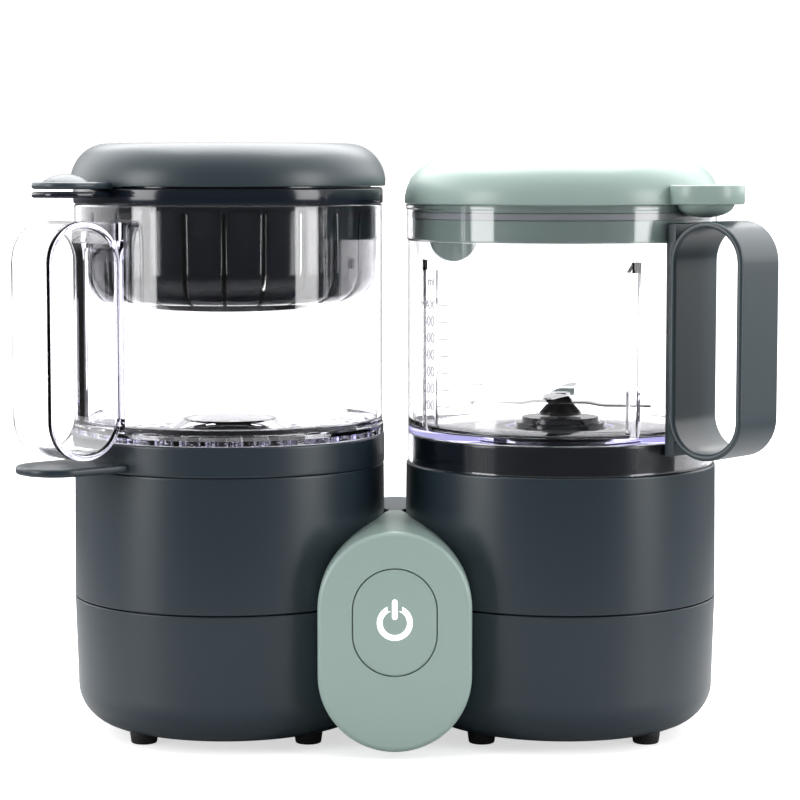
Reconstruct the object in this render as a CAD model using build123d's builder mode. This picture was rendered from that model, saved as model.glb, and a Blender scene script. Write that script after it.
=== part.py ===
"""Baby food maker: a steamer tower and a blender tower on one motor base, joined by a pill-shaped pod.

Millimetres, +Z up. The steamer tower is at -X, the blender tower at +X and the controls face -Y.
The origin is on the table, under the middle of the whole object's bounding box.
"""

from build123d import *
import math
import os

# ---------------------------------------------------------------- driving dimensions
# Layout
tower_pitch = 148.0  # between the two tower axes
base_radius = 69.5  # motor base, at its seam
base_draft = 0.5  # the base narrows by this much from the seam to the deck
foot_height = 4.0
seam_height = 61.5  # joint between the lower and the upper housing
seam_gap = 0.6
deck_height = 120.3  # top face of the motor base
corner_radius = 18.0  # rounding under the lower housing
shell_wall = 2.5
deck_thickness = 4.0
run_gap = 0.3  # between faces that slide or turn past each other
rest_gap = 0.2  # between a part and the part that it stands on
overcut = 1.0  # how far a cut runs past the face that it opens

# Handles and tabs
handle_angle = 40.0  # how far both handles turn from sideways towards the user
handle_reach = 104.0  # tower axis to the outside of a grip
handle_width = 33.5
strap_thickness = 2.8
strap_taper = 2.1  # how much narrower each side of a strap is at the grip than at the wall
strap_rounding = 1.1
handle_bottom = 127.5
handle_top = 228.6

# Clear vessels
vessel_radius = 68.2
vessel_wall = 2.3
floor_thickness = 2.5
tray_height = 13.0
bowl_top = 235.2
jar_top = 235.0
collar_height = 15.8
collar_step = 0.7

# Lids
cap_radius = 69.8
cap_flat_radius = 53.5
cap_height = 18.6
cap_wall = 2.2
cap_edge = 0.6
lid_skirt_wall = 2.0
blender_skirt_depth = 15.9
basket_rim_height = 7.1

# Control pod
pod_width = 65.6
pod_bottom = 3.2
pod_top = 98.0
pod_front = 71.0  # front face, ahead of the tower axes
pod_rear = 50.0  # rear face, behind the tower axes
pod_edge = 2.4
button_width = 35.5
button_height = 45.6
button_centre = 59.2
button_gap = 0.45
button_travel = 1.5

# ---------------------------------------------------------------- derived places
tower_x = tower_pitch / 2
swing = math.radians(handle_angle)
left_swing = math.pi + swing
right_swing = -swing
grip_corner = (handle_reach - strap_rounding, handle_width / 2 - strap_taper - strap_rounding)
front_reach = grip_corner[0] * math.sin(swing) + grip_corner[1] * math.cos(swing) + strap_rounding
axis_y = (front_reach - cap_radius) / 2  # puts the origin under the middle of the bounding box

left_axis = Axis((-tower_x, axis_y, 0), (0, 0, 1))
right_axis = Axis((tower_x, axis_y, 0), (0, 0, 1))
left_section = Plane(origin=(-tower_x, axis_y, 0), x_dir=(1, 0, 0), z_dir=(0, -1, 0))
right_section = Plane(origin=(tower_x, axis_y, 0), x_dir=(1, 0, 0), z_dir=(0, -1, 0))
towers = ((left_section, left_axis), (right_section, right_axis))

os.makedirs("parts", exist_ok=True)


# ---------------------------------------------------------------- shared helpers
def save(builder, label):
    """Names a finished piece and writes it as its own STEP file."""
    builder.part.label = label
    export_step(builder.part, f"parts/{label}.step")


def spin(section, axis, points, mode=Mode.ADD):
    """Turns a closed polygon of (radius, height) points about a tower axis."""
    with BuildSketch(section) as profile:
        with BuildLine():
            Polyline(*points, close=True)
        make_face()
    revolve(profile.sketch, axis=axis, mode=mode)


def tube(section, axis, inner, outer, bottom, top, mode=Mode.ADD):
    """A ring between two radii and two heights, or a disc where the inner radius is 0."""
    spin(section, axis, [(inner, bottom), (outer, bottom), (outer, top), (inner, top)], mode)


def level(x, z):
    """A horizontal plane centred on the tower whose axis is at x."""
    return Plane(origin=(x, axis_y, z))


def radial_plane(x, angle):
    """An upright plane through a tower axis: its x runs outwards at the angle, its y runs up."""
    a = math.radians(angle)
    return Plane(
        origin=(x, axis_y, 0),
        x_dir=(math.cos(a), math.sin(a), 0),
        z_dir=(math.sin(a), -math.cos(a), 0),
    )


def pod_plane(ahead):
    """An upright plane facing the user, this far ahead of the tower axes; its y is the height."""
    return Plane(origin=(0, axis_y - ahead, 0), x_dir=(1, 0, 0), z_dir=(0, -1, 0))


def pill(width, bottom, top):
    """An upright pill outline between two heights, in the current sketch."""
    with Locations((0, (bottom + top) / 2)):
        SlotOverall(top - bottom, width, rotation=90)


def pod_block(front, rear, inset, mode=Mode.ADD):
    """The pill-shaped pod, taken in by the inset, from one distance ahead to another."""
    with BuildSketch(pod_plane(rear)) as outline:
        pill(pod_width - 2 * inset, pod_bottom + inset, pod_top - inset)
    extrude(outline.sketch, amount=front - rear, mode=mode)


left_handle_angle = 180 + handle_angle
right_handle_angle = -handle_angle

# ---------------------------------------------------------------- motor base housings
screw_offset = 36.0  # screws, bosses and feet, from a tower axis in x and in y
boss_joint = 34.0  # height where the lower and upper bosses meet
screw_seat = 26.0
screw_radius = 1.5
screw_head_radius = 2.9
screw_head_height = 2.2
screw_length = 20.0
screw_clearance = 0.1
counterbore_radius = 3.3
lower_boss_radius = 5.0
upper_boss_radius = 4.0
cup_draft = 1.1  # the lower housing narrows by this much from the seam to the bottom rounding
lower_radius = base_radius - cup_draft
seam_low = seam_height - seam_gap / 2
seam_high = seam_height + seam_gap / 2
neck_bury = 2.3  # how far the neck's ends stand inside the tower walls
neck_half_width = tower_x - base_radius + neck_bury
neck_half_depth = 13.0
neck_wall = 2.5
neck_bottom = 20.0
neck_clearance = 1.5
neck_top = pod_top - shell_wall - neck_clearance
passage_overlap = 4.0  # how far the cable passage opens into each tower
passage_reach = neck_half_width + passage_overlap
lead_height = 70.0
lead_offset = 2.5
lead_window = 6.0
corner_height = foot_height + corner_radius


def neck(bottom, top, floor, roof):
    """The hollow web that joins the two towers between two heights, with a floor or a roof."""
    with BuildSketch(Plane((0, axis_y, bottom))) as web:
        Rectangle(2 * neck_half_width, 2 * neck_half_depth)
    extrude(web.sketch, amount=top - bottom)
    low = bottom + floor
    high = top - roof
    with BuildSketch(Plane((0, axis_y, low))) as passage:
        Rectangle(2 * passage_reach, 2 * (neck_half_depth - neck_wall))
    extrude(passage.sketch, amount=high - low, mode=Mode.SUBTRACT)


vent_count = 12
vent_width = 2.4
vent_length = 13.0
vent_circle = 27.0

with BuildPart() as lower_housing:
    for section, axis in towers:
        with BuildSketch(section) as cup:
            with BuildLine():
                Polyline(
                    (0, foot_height + shell_wall),
                    (0, foot_height),
                    (lower_radius - corner_radius, foot_height),
                )
                RadiusArc(
                    (lower_radius - corner_radius, foot_height),
                    (lower_radius, corner_height),
                    -corner_radius,
                )
                Polyline(
                    (lower_radius, corner_height),
                    (base_radius, seam_low),
                    (base_radius - shell_wall, seam_low),
                    (lower_radius - shell_wall, corner_height),
                )
                RadiusArc(
                    (lower_radius - shell_wall, corner_height),
                    (lower_radius - corner_radius, foot_height + shell_wall),
                    corner_radius - shell_wall,
                )
                Line(
                    (lower_radius - corner_radius, foot_height + shell_wall),
                    (0, foot_height + shell_wall),
                )
            make_face()
        revolve(cup.sketch, axis=axis)
    neck(neck_bottom, seam_low, neck_wall, 0)
    for x in (-tower_x, tower_x):
        with BuildSketch(level(x, foot_height)) as bosses:
            with GridLocations(2 * screw_offset, 2 * screw_offset, 2, 2):
                Circle(lower_boss_radius)
        extrude(bosses.sketch, amount=boss_joint - foot_height)
        with BuildSketch(level(x, foot_height)) as screw_wells:
            with GridLocations(2 * screw_offset, 2 * screw_offset, 2, 2):
                Circle(counterbore_radius)
        extrude(screw_wells.sketch, amount=screw_seat - foot_height, mode=Mode.SUBTRACT)
        with BuildSketch(level(x, foot_height)) as screw_holes:
            with GridLocations(2 * screw_offset, 2 * screw_offset, 2, 2):
                Circle(screw_radius + screw_clearance)
        extrude(screw_holes.sketch, amount=boss_joint - foot_height, mode=Mode.SUBTRACT)
    with BuildSketch(level(tower_x, foot_height)) as vents:
        with PolarLocations(vent_circle, vent_count):
            SlotOverall(vent_length, vent_width)
    extrude(vents.sketch, amount=shell_wall, mode=Mode.SUBTRACT)
save(lower_housing, "lower_housing")

lip_height = 3.2
lip_wall = 2.0
lip_outer = base_radius - shell_wall - run_gap
lip_inner = lip_outer - lip_wall
boiler_opening = 43.0
boiler_flange_radius = 48.0
boiler_flange_thickness = 1.2
boiler_seal_thickness = 1.0
shaft_opening = 8.0
drip_collar_wall = 2.0
drip_collar_height = 1.8
deck_radius = base_radius - base_draft
deck_under = deck_height - deck_thickness
damper_offset = 27.0  # motor posts and dampers, from the tower axis in x and in y
motor_post_radius = 4.5
motor_post_bottom = 93.0
motor_screw_radius = 1.5
pilot_depth = 14.0

with BuildPart() as upper_housing:
    for (section, axis), opening in zip(towers, (boiler_opening, shaft_opening)):
        spin(
            section,
            axis,
            [
                (base_radius, seam_high),
                (deck_radius, deck_height),
                (opening, deck_height),
                (opening, deck_under),
                (deck_radius - shell_wall, deck_under),
                (base_radius - shell_wall, seam_high + 3 * lip_height),
                (lip_inner, seam_high + 2 * lip_height),
                (lip_inner, seam_low - lip_height),
                (lip_outer, seam_low - lip_height),
                (lip_outer, seam_high),
            ],
        )
    neck(seam_high, neck_top, 0, neck_wall)
    with BuildSketch(pod_plane(neck_half_depth + overcut)) as lead_hole:
        with Locations((0, lead_height)):
            Circle(lead_window)
    extrude(lead_hole.sketch, amount=-neck_wall - 2 * overcut, mode=Mode.SUBTRACT)
    tube(
        left_section,
        left_axis,
        boiler_opening,
        boiler_flange_radius + run_gap,
        deck_height - boiler_flange_thickness - boiler_seal_thickness,
        deck_height,
        Mode.SUBTRACT,
    )
    tube(
        right_section,
        right_axis,
        shaft_opening,
        shaft_opening + drip_collar_wall,
        deck_under,
        deck_height + drip_collar_height,
    )
    for x in (-tower_x, tower_x):
        with BuildSketch(level(x, boss_joint)) as upper_bosses:
            with GridLocations(2 * screw_offset, 2 * screw_offset, 2, 2):
                Circle(upper_boss_radius)
        extrude(upper_bosses.sketch, amount=deck_under - boss_joint)
        with BuildSketch(level(x, boss_joint)) as pilots:
            with GridLocations(2 * screw_offset, 2 * screw_offset, 2, 2):
                Circle(screw_radius + screw_clearance / 2)
        extrude(pilots.sketch, amount=pilot_depth, mode=Mode.SUBTRACT)
    with BuildSketch(level(tower_x, motor_post_bottom)) as motor_posts:
        with GridLocations(2 * damper_offset, 2 * damper_offset, 2, 2):
            Circle(motor_post_radius)
    extrude(motor_posts.sketch, amount=deck_under - motor_post_bottom)
    with BuildSketch(level(tower_x, motor_post_bottom)) as motor_pilots:
        with GridLocations(2 * damper_offset, 2 * damper_offset, 2, 2):
            Circle(motor_screw_radius + screw_clearance / 2)
    extrude(motor_pilots.sketch, amount=pilot_depth, mode=Mode.SUBTRACT)
save(upper_housing, "upper_housing")

with BuildPart() as housing_screws:
    for x in (-tower_x, tower_x):
        with BuildSketch(level(x, screw_seat - screw_head_height)) as heads:
            with GridLocations(2 * screw_offset, 2 * screw_offset, 2, 2):
                Circle(screw_head_radius)
        extrude(heads.sketch, amount=screw_head_height)
        with BuildSketch(level(x, screw_seat)) as shanks:
            with GridLocations(2 * screw_offset, 2 * screw_offset, 2, 2):
                Circle(screw_radius)
        extrude(shanks.sketch, amount=screw_length)
save(housing_screws, "housing_screws")

foot_radius = 6.2
foot_taper = 0.7
foot_plug_length = 5.0
with BuildPart() as rubber_feet:
    for x in (-tower_x, tower_x):
        for dx in (-screw_offset, screw_offset):
            for dy in (-screw_offset, screw_offset):
                foot_plane = Plane((x + dx, axis_y + dy, 0), x_dir=(1, 0, 0), z_dir=(0, -1, 0))
                spin(
                    foot_plane,
                    Axis((x + dx, axis_y + dy, 0), (0, 0, 1)),
                    [
                        (0, 0),
                        (foot_radius - foot_taper, 0),
                        (foot_radius, foot_height),
                        (counterbore_radius, foot_height),
                        (counterbore_radius, foot_height + foot_plug_length),
                        (0, foot_height + foot_plug_length),
                    ],
                )
save(rubber_feet, "rubber_feet")

# ---------------------------------------------------------------- steamer base: boiler
dish_depth = 15.0
dish_wall = 1.2
dish_taper = 5.0
dish_straight = 2.0  # upright part of the wall, just under the flange
dish_gap = 1.0
dish_radius = boiler_opening - dish_gap
flange_top = deck_height
flange_under = flange_top - boiler_flange_thickness
dish_floor = flange_under - dish_depth
with BuildPart() as boiler_dish:
    spin(
        left_section,
        left_axis,
        [
            (0, dish_floor),
            (dish_radius - dish_taper, dish_floor),
            (dish_radius, flange_under - dish_straight),
            (dish_radius, flange_under),
            (boiler_flange_radius, flange_under),
            (boiler_flange_radius, flange_top),
            (dish_radius - dish_wall, flange_top),
            (dish_radius - dish_wall, flange_under - dish_straight),
            (dish_radius - dish_taper - dish_wall, dish_floor + dish_wall),
            (0, dish_floor + dish_wall),
        ],
    )
save(boiler_dish, "boiler_dish")

with BuildPart() as boiler_seal:
    tube(
        left_section,
        left_axis,
        boiler_opening + run_gap,
        boiler_flange_radius,
        flange_under - boiler_seal_thickness,
        flange_under,
    )
save(boiler_seal, "boiler_seal")

element_circle = 24.0
element_radius = 3.4
element_gap_angle = 50.0
element_tail = 14.0
tail_radius = 2.04
pad_thickness = 3.0
pad_radius = 35.5
with BuildPart() as heater_plate:
    tube(left_section, left_axis, 0, pad_radius, dish_floor - pad_thickness, dish_floor)
save(heater_plate, "heater_plate")

element_z = dish_floor - pad_thickness - element_radius
half_gap = math.radians(element_gap_angle / 2)
tail_x = element_circle * math.sin(half_gap)
tail_y = element_circle * math.cos(half_gap)
with BuildPart() as heating_element:
    with BuildLine(level(-tower_x, element_z)) as loop:
        ThreePointArc((tail_x, tail_y), (0, -element_circle), (-tail_x, tail_y))
    with BuildSketch(Plane(origin=loop.line @ 0, z_dir=loop.line % 0)) as wire:
        Circle(element_radius)
    sweep(wire.sketch, path=loop.line)
    with BuildSketch(level(-tower_x, element_z - element_tail)) as tails:
        with Locations((tail_x, tail_y), (-tail_x, tail_y)):
            Circle(tail_radius)
    extrude(tails.sketch, amount=element_tail)
save(heating_element, "heating_element")

thermostat_radius = 8.5
thermostat_height = 9.0
terminal_offset = 4.0  # the two blade terminals, from the middle of the thermostat
terminal_size = (0.8, 6.0)
terminal_length = 7.0
with BuildPart() as boiler_thermostat:
    tube(
        left_section,
        left_axis,
        0,
        thermostat_radius,
        dish_floor - pad_thickness - thermostat_height,
        dish_floor - pad_thickness,
    )
    with BuildSketch(level(-tower_x, dish_floor - pad_thickness - thermostat_height)) as terminals:
        with Locations((-terminal_offset, 0), (terminal_offset, 0)):
            Rectangle(*terminal_size)
    extrude(terminals.sketch, amount=-terminal_length)
save(boiler_thermostat, "boiler_thermostat")

bracket_top = element_z - element_radius
bracket_thickness = 2.0
bracket_width = 12.0
bracket_post_radius = 3.0
bracket_gap = 1.0
bracket_ring = 3.0
bracket_hole = thermostat_radius + bracket_gap
clamp_offset = element_circle + element_radius + bracket_post_radius + bracket_gap
with BuildPart() as boiler_bracket:
    with BuildSketch(level(-tower_x, bracket_top - bracket_thickness)) as bar:
        Rectangle(2 * (clamp_offset + bracket_post_radius), bracket_width)
        Circle(bracket_hole + bracket_ring)
        Circle(bracket_hole, mode=Mode.SUBTRACT)
    extrude(bar.sketch, amount=bracket_thickness)
    with BuildSketch(level(-tower_x, bracket_top)) as stand_offs:
        with Locations((-clamp_offset, 0), (clamp_offset, 0)):
            Circle(bracket_post_radius)
    extrude(stand_offs.sketch, amount=dish_floor - pad_thickness - bracket_top)
save(boiler_bracket, "boiler_bracket")

# ---------------------------------------------------------------- blender base: motor
motor_radius = 31.0
motor_bottom = 24.0
motor_top = 84.0
motor_wall = 1.6
bearing_radius = 8.0
bearing_height = 6.0
shaft_radius = 3.0
shaft_gap = 0.05
plate_thickness = 2.5
plate_half = damper_offset + 6.0
damper_height = motor_post_bottom - motor_top - plate_thickness
damper_radius = 5.5
boss_wall = 2.0

with BuildPart() as motor_can:
    tube(right_section, right_axis, motor_radius - motor_wall, motor_radius, motor_bottom, motor_top)
    tube(right_section, right_axis, bearing_radius, motor_radius, motor_top - motor_wall, motor_top)
    tube(
        right_section,
        right_axis,
        bearing_radius,
        bearing_radius + boss_wall,
        motor_top - bearing_height,
        motor_top,
    )
save(motor_can, "motor_can")

cap_skirt = 6.0
air_hole_circle = 20.0
air_hole_count = 8
air_hole_radius = 3.5
with BuildPart() as motor_end_cap:
    tube(
        right_section,
        right_axis,
        bearing_radius,
        motor_radius,
        motor_bottom - motor_wall,
        motor_bottom,
    )
    tube(
        right_section,
        right_axis,
        bearing_radius,
        bearing_radius + boss_wall,
        motor_bottom - motor_wall,
        motor_bottom + cap_skirt,
    )
    with BuildSketch(level(tower_x, motor_bottom - motor_wall)) as air_holes:
        with PolarLocations(air_hole_circle, air_hole_count):
            Circle(air_hole_radius)
    extrude(air_holes.sketch, amount=motor_wall, mode=Mode.SUBTRACT)
save(motor_end_cap, "motor_end_cap")

with BuildPart() as shaft_bearings:
    tube(
        right_section,
        right_axis,
        shaft_radius + shaft_gap,
        bearing_radius,
        motor_top - bearing_height,
        motor_top,
    )
    tube(
        right_section,
        right_axis,
        shaft_radius + shaft_gap,
        bearing_radius,
        motor_bottom - motor_wall,
        motor_bottom + cap_skirt,
    )
save(shaft_bearings, "shaft_bearings")

coil_gap = 1.0
armature_radius = 17.0
coil_bottom = motor_bottom + 12.0
coil_top = motor_top - 14.0
coil_slots = 4
coil_slot_circle = armature_radius + coil_gap + 3.0
coil_slot_size = (10.0, 5.0)
with BuildPart() as stator_coils:
    tube(
        right_section,
        right_axis,
        armature_radius + coil_gap,
        motor_radius - motor_wall,
        coil_bottom,
        coil_top,
    )
    with BuildSketch(level(tower_x, coil_bottom)) as slots:
        with PolarLocations(coil_slot_circle, coil_slots):
            Rectangle(*coil_slot_size)
    extrude(slots.sketch, amount=coil_top - coil_bottom, mode=Mode.SUBTRACT)
save(stator_coils, "stator_coils")

plate_corner = 6.0
plate_hole = bearing_radius + 1.0
with BuildPart() as motor_plate:
    with BuildSketch(level(tower_x, motor_top)) as plate:
        RectangleRounded(2 * plate_half, 2 * plate_half, plate_corner)
        Circle(plate_hole, mode=Mode.SUBTRACT)
        with GridLocations(2 * damper_offset, 2 * damper_offset, 2, 2):
            Circle(motor_screw_radius + screw_clearance, mode=Mode.SUBTRACT)
    extrude(plate.sketch, amount=plate_thickness)
save(motor_plate, "motor_plate")

with BuildPart() as motor_dampers:
    with BuildSketch(level(tower_x, motor_top + plate_thickness)) as damper:
        with GridLocations(2 * damper_offset, 2 * damper_offset, 2, 2):
            Circle(damper_radius)
            Circle(motor_screw_radius + screw_clearance, mode=Mode.SUBTRACT)
    extrude(damper.sketch, amount=damper_height)
save(motor_dampers, "motor_dampers")

pilot_spare = 2.0  # thread left free beyond the end of a motor screw
motor_screw_length = plate_thickness + damper_height + pilot_depth - pilot_spare
with BuildPart() as motor_screws:
    with BuildSketch(level(tower_x, motor_top - screw_head_height)) as motor_heads:
        with GridLocations(2 * damper_offset, 2 * damper_offset, 2, 2):
            Circle(screw_head_radius)
    extrude(motor_heads.sketch, amount=screw_head_height)
    with BuildSketch(level(tower_x, motor_top)) as motor_shanks:
        with GridLocations(2 * damper_offset, 2 * damper_offset, 2, 2):
            Circle(motor_screw_radius)
    extrude(motor_shanks.sketch, amount=motor_screw_length)
save(motor_screws, "motor_screws")

# ---------------------------------------------------------------- rotor, turns with the motor
fan_bottom = 14.0
fan_height = 7.0
fan_radius = 26.0
fan_blades = 9
fan_plate = 1.2
fan_plate_bottom = fan_bottom + fan_height - fan_plate
hub_radius = 6.0
vane_thickness = 1.4
vane_length = fan_radius - hub_radius + 0.4
vane_circle = (hub_radius + fan_radius) / 2 - 0.5
vane_height = fan_height - 0.5
dog_radius = 9.0
dog_chamfer = 0.8
dog_lift = 0.7  # from the drip collar to the coupling above it
dog_height = 6.5
shaft_in_dog = 3.0
dog_bottom = deck_height + drip_collar_height + dog_lift
dog_top = dog_bottom + dog_height
with BuildPart() as motor_shaft:
    tube(right_section, right_axis, 0, shaft_radius, fan_bottom, dog_bottom + shaft_in_dog)
save(motor_shaft, "motor_shaft")

armature_bottom = coil_bottom + 2.0
armature_top = coil_top - 2.0
winding_slot_count = 12
winding_slot_size = (8.0, 2.2)
with BuildPart() as armature:
    tube(right_section, right_axis, shaft_radius, armature_radius, armature_bottom, armature_top)
    with BuildSketch(level(tower_x, armature_bottom)) as winding_slots:
        with PolarLocations(armature_radius, winding_slot_count):
            Rectangle(*winding_slot_size)
    extrude(winding_slots.sketch, amount=armature_top - armature_bottom, mode=Mode.SUBTRACT)
save(armature, "armature")

with BuildPart() as cooling_fan:
    tube(right_section, right_axis, shaft_radius, hub_radius, fan_bottom, fan_bottom + fan_height)
    tube(right_section, right_axis, shaft_radius, fan_radius, fan_plate_bottom, fan_bottom + fan_height)
    with BuildSketch(level(tower_x, fan_bottom)) as fan_vanes:
        with PolarLocations(vane_circle, fan_blades):
            Rectangle(vane_length, vane_thickness)
    extrude(fan_vanes.sketch, amount=vane_height)
save(cooling_fan, "cooling_fan")

with BuildPart() as drive_coupling:
    with BuildSketch(level(tower_x, dog_bottom)) as dog:
        RegularPolygon(dog_radius, 6)
    extrude(dog.sketch, amount=dog_top - dog_bottom)
    tube(right_section, right_axis, 0, shaft_radius, dog_bottom, dog_bottom + shaft_in_dog, Mode.SUBTRACT)
    chamfer(drive_coupling.faces().sort_by(Axis.Z)[-1].edges(), dog_chamfer)
save(drive_coupling, "drive_coupling")

# ---------------------------------------------------------------- blade carrier, lifts off with the jar
carrier_radius = 65.6
carrier_wall = 2.2
jar_floor_under = 133.8
gasket_thickness = 0.5
carrier_top = jar_floor_under - gasket_thickness
carrier_plate = 2.2
dome_radius = 23.5
dome_top = 140.4
dome_top_radius = 15.0
dome_steps = 3
dome_draft = 0.8  # each step of the mound leans in by this much
dome_wall = 2.4
dome_skin = 3.4  # thickness of the mound's top
bush_radius = 4.6
blade_shaft_radius = 3.0
socket_radius = 13.0
socket_lift = 0.8
socket_gap = 0.5
bush_drop = 1.0
socket_bottom = dog_bottom + socket_lift
bush_bottom = carrier_top - bush_drop
socket_top = bush_bottom - socket_gap
carrier_bottom = deck_height + rest_gap

dome_rise = (dome_top - carrier_top) / dome_steps
dome_run = (dome_radius - dome_top_radius) / dome_steps
stair = []
for n in range(dome_steps):
    stair.append((dome_radius - n * dome_run, carrier_top + n * dome_rise))
    stair.append((dome_radius - n * dome_run - dome_draft, carrier_top + (n + 1) * dome_rise))
with BuildPart() as blade_carrier:
    spin(
        right_section,
        right_axis,
        [
            (carrier_radius - carrier_wall, carrier_bottom),
            (carrier_radius, carrier_bottom),
            (carrier_radius, carrier_top),
            *stair,
            (bush_radius, dome_top),
            (bush_radius, bush_bottom),
            (bush_radius + dome_wall, bush_bottom),
            (bush_radius + dome_wall, dome_top - dome_skin),
            (dome_top_radius - dome_wall, dome_top - dome_skin),
            (dome_radius - dome_wall, carrier_top - carrier_plate),
            (carrier_radius - carrier_wall, carrier_top - carrier_plate),
        ],
    )
save(blade_carrier, "blade_carrier")

seal_height = 1.4
gasket_inner = dome_radius + 1.5
gasket_outer = gasket_inner + 4.5
with BuildPart() as carrier_gasket:
    tube(right_section, right_axis, gasket_inner, gasket_outer, carrier_top, jar_floor_under)
save(carrier_gasket, "carrier_gasket")

with BuildPart() as shaft_bush:
    tube(
        right_section,
        right_axis,
        blade_shaft_radius + shaft_gap,
        bush_radius,
        bush_bottom,
        dome_top - seal_height,
    )
save(shaft_bush, "shaft_bush")

with BuildPart() as shaft_seal:
    tube(
        right_section,
        right_axis,
        blade_shaft_radius + shaft_gap,
        bush_radius,
        dome_top - seal_height,
        dome_top,
    )
save(shaft_seal, "shaft_seal")

# ---------------------------------------------------------------- blades, turn with the rotor
blade_radius = 41.0
blade_thickness = 0.9
blade_root_width = 13.0
wing_heel = 5.0  # from the middle of the strip to its trailing edge
wing_tip = 1.5  # how far the leading edge has swept past the middle at the tip
wing_sweep = 3.0
wing_shoulder = 14.0
bend_start = 11.0
bend_end = 20.0
blade_z = 146.4
lower_wing_angle = -8.0
upper_wing_angle = 82.0
hub_bottom_radius = 9.3
hub_top_radius = 5.6
nut_height = 3.0
nut_radius = 4.4
blade_rise = 4.0  # the upper pair of wings turns up this far
blade_drop = 1.2  # and the lower pair turns down this far
hub_edge = 1.0
hub_lift = 0.8
shaft_in_socket = 2.0
socket_clearance = 0.4
shaft_above = 1.2  # the shaft stands out of the lower wings by this much
blade_shaft_bottom = socket_top - shaft_in_socket
blade_shaft_top = blade_z + blade_thickness + shaft_above
hub_bottom = dome_top + hub_lift

with BuildPart() as blade_shaft:
    tube(right_section, right_axis, 0, blade_shaft_radius, blade_shaft_bottom, blade_shaft_top)
save(blade_shaft, "blade_shaft")

with BuildPart() as driven_coupling:
    tube(right_section, right_axis, 0, socket_radius, socket_bottom, socket_top)
    with BuildSketch(level(tower_x, socket_bottom)) as socket:
        RegularPolygon(dog_radius + run_gap, 6)
    extrude(socket.sketch, amount=dog_top - socket_bottom + socket_clearance, mode=Mode.SUBTRACT)
    tube(right_section, right_axis, 0, blade_shaft_radius, blade_shaft_bottom, socket_top, Mode.SUBTRACT)
save(driven_coupling, "driven_coupling")

with BuildPart() as blade_hub:
    spin(
        right_section,
        right_axis,
        [
            (blade_shaft_radius, hub_bottom),
            (hub_bottom_radius, hub_bottom),
            (hub_bottom_radius, hub_bottom + hub_edge),
            (hub_top_radius, blade_z),
            (blade_shaft_radius, blade_z),
        ],
    )
save(blade_hub, "blade_hub")


def wing_pair(angle, rise, bottom):
    """Two steel wings on one strip, each bent up or down near its root and tapering to the tip."""
    side = radial_plane(tower_x, angle)
    tip = bottom + rise
    for turn in (1, -1):
        with BuildSketch(side) as edge:
            with BuildLine():
                Polyline(
                    (0, bottom),
                    (turn * bend_start, bottom),
                    (turn * bend_end, tip),
                    (turn * blade_radius, tip),
                    (turn * blade_radius, tip + blade_thickness),
                    (turn * bend_end, tip + blade_thickness),
                    (turn * bend_start, bottom + blade_thickness),
                    (0, bottom + blade_thickness),
                    close=True,
                )
            make_face()
        extrude(edge.sketch, amount=blade_root_width / 2, both=True)


wing_trim = 12.0  # taller than the bend of any wing


def wing_outline(angle, bottom):
    """Trims the strips to their plan shape: a round boss and two wings with swept cutting edges."""
    a = math.radians(angle)
    plan_plane = Plane(origin=(tower_x, axis_y, bottom), x_dir=(math.cos(a), math.sin(a), 0))
    with BuildSketch(plan_plane) as plan:
        Circle(blade_root_width / 2)
        for turn in (1, -1):
            with BuildLine():
                Polyline(
                    (0, turn * blade_root_width / 2),
                    (turn * wing_shoulder, turn * blade_root_width / 2),
                    (turn * blade_radius, -turn * wing_tip),
                    (turn * (blade_radius - wing_sweep), -turn * wing_heel),
                    (0, -turn * wing_heel),
                    close=True,
                )
            make_face()
    extrude(plan.sketch, amount=wing_trim, both=True, mode=Mode.INTERSECT)


blade_bore = blade_shaft_radius + 0.02
with BuildPart() as blades_lower:
    wing_pair(lower_wing_angle, -blade_drop, blade_z)
    wing_outline(lower_wing_angle, blade_z)
    tube(
        right_section,
        right_axis,
        0,
        blade_bore,
        blade_z - overcut,
        blade_z + blade_thickness + overcut,
        Mode.SUBTRACT,
    )
save(blades_lower, "blades_lower")

nut_bottom = blade_z + blade_thickness
with BuildPart() as blades_upper:
    wing_pair(upper_wing_angle, blade_rise, nut_bottom)
    wing_outline(upper_wing_angle, nut_bottom)
    tube(
        right_section,
        right_axis,
        0,
        blade_bore,
        nut_bottom - overcut,
        nut_bottom + blade_thickness + overcut,
        Mode.SUBTRACT,
    )
save(blades_upper, "blades_upper")

with BuildPart() as blade_nut:
    with BuildSketch(level(tower_x, nut_bottom + blade_thickness)) as nut:
        RegularPolygon(nut_radius, 6)
    extrude(nut.sketch, amount=nut_height)
    tube(right_section, right_axis, 0, blade_shaft_radius, nut_bottom, blade_shaft_top, Mode.SUBTRACT)
save(blade_nut, "blade_nut")

# ---------------------------------------------------------------- handles
spine_inset = 0.5
root_depth = 7.0
seat_step = 0.8
handle_seat = vessel_radius + seat_step


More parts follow.
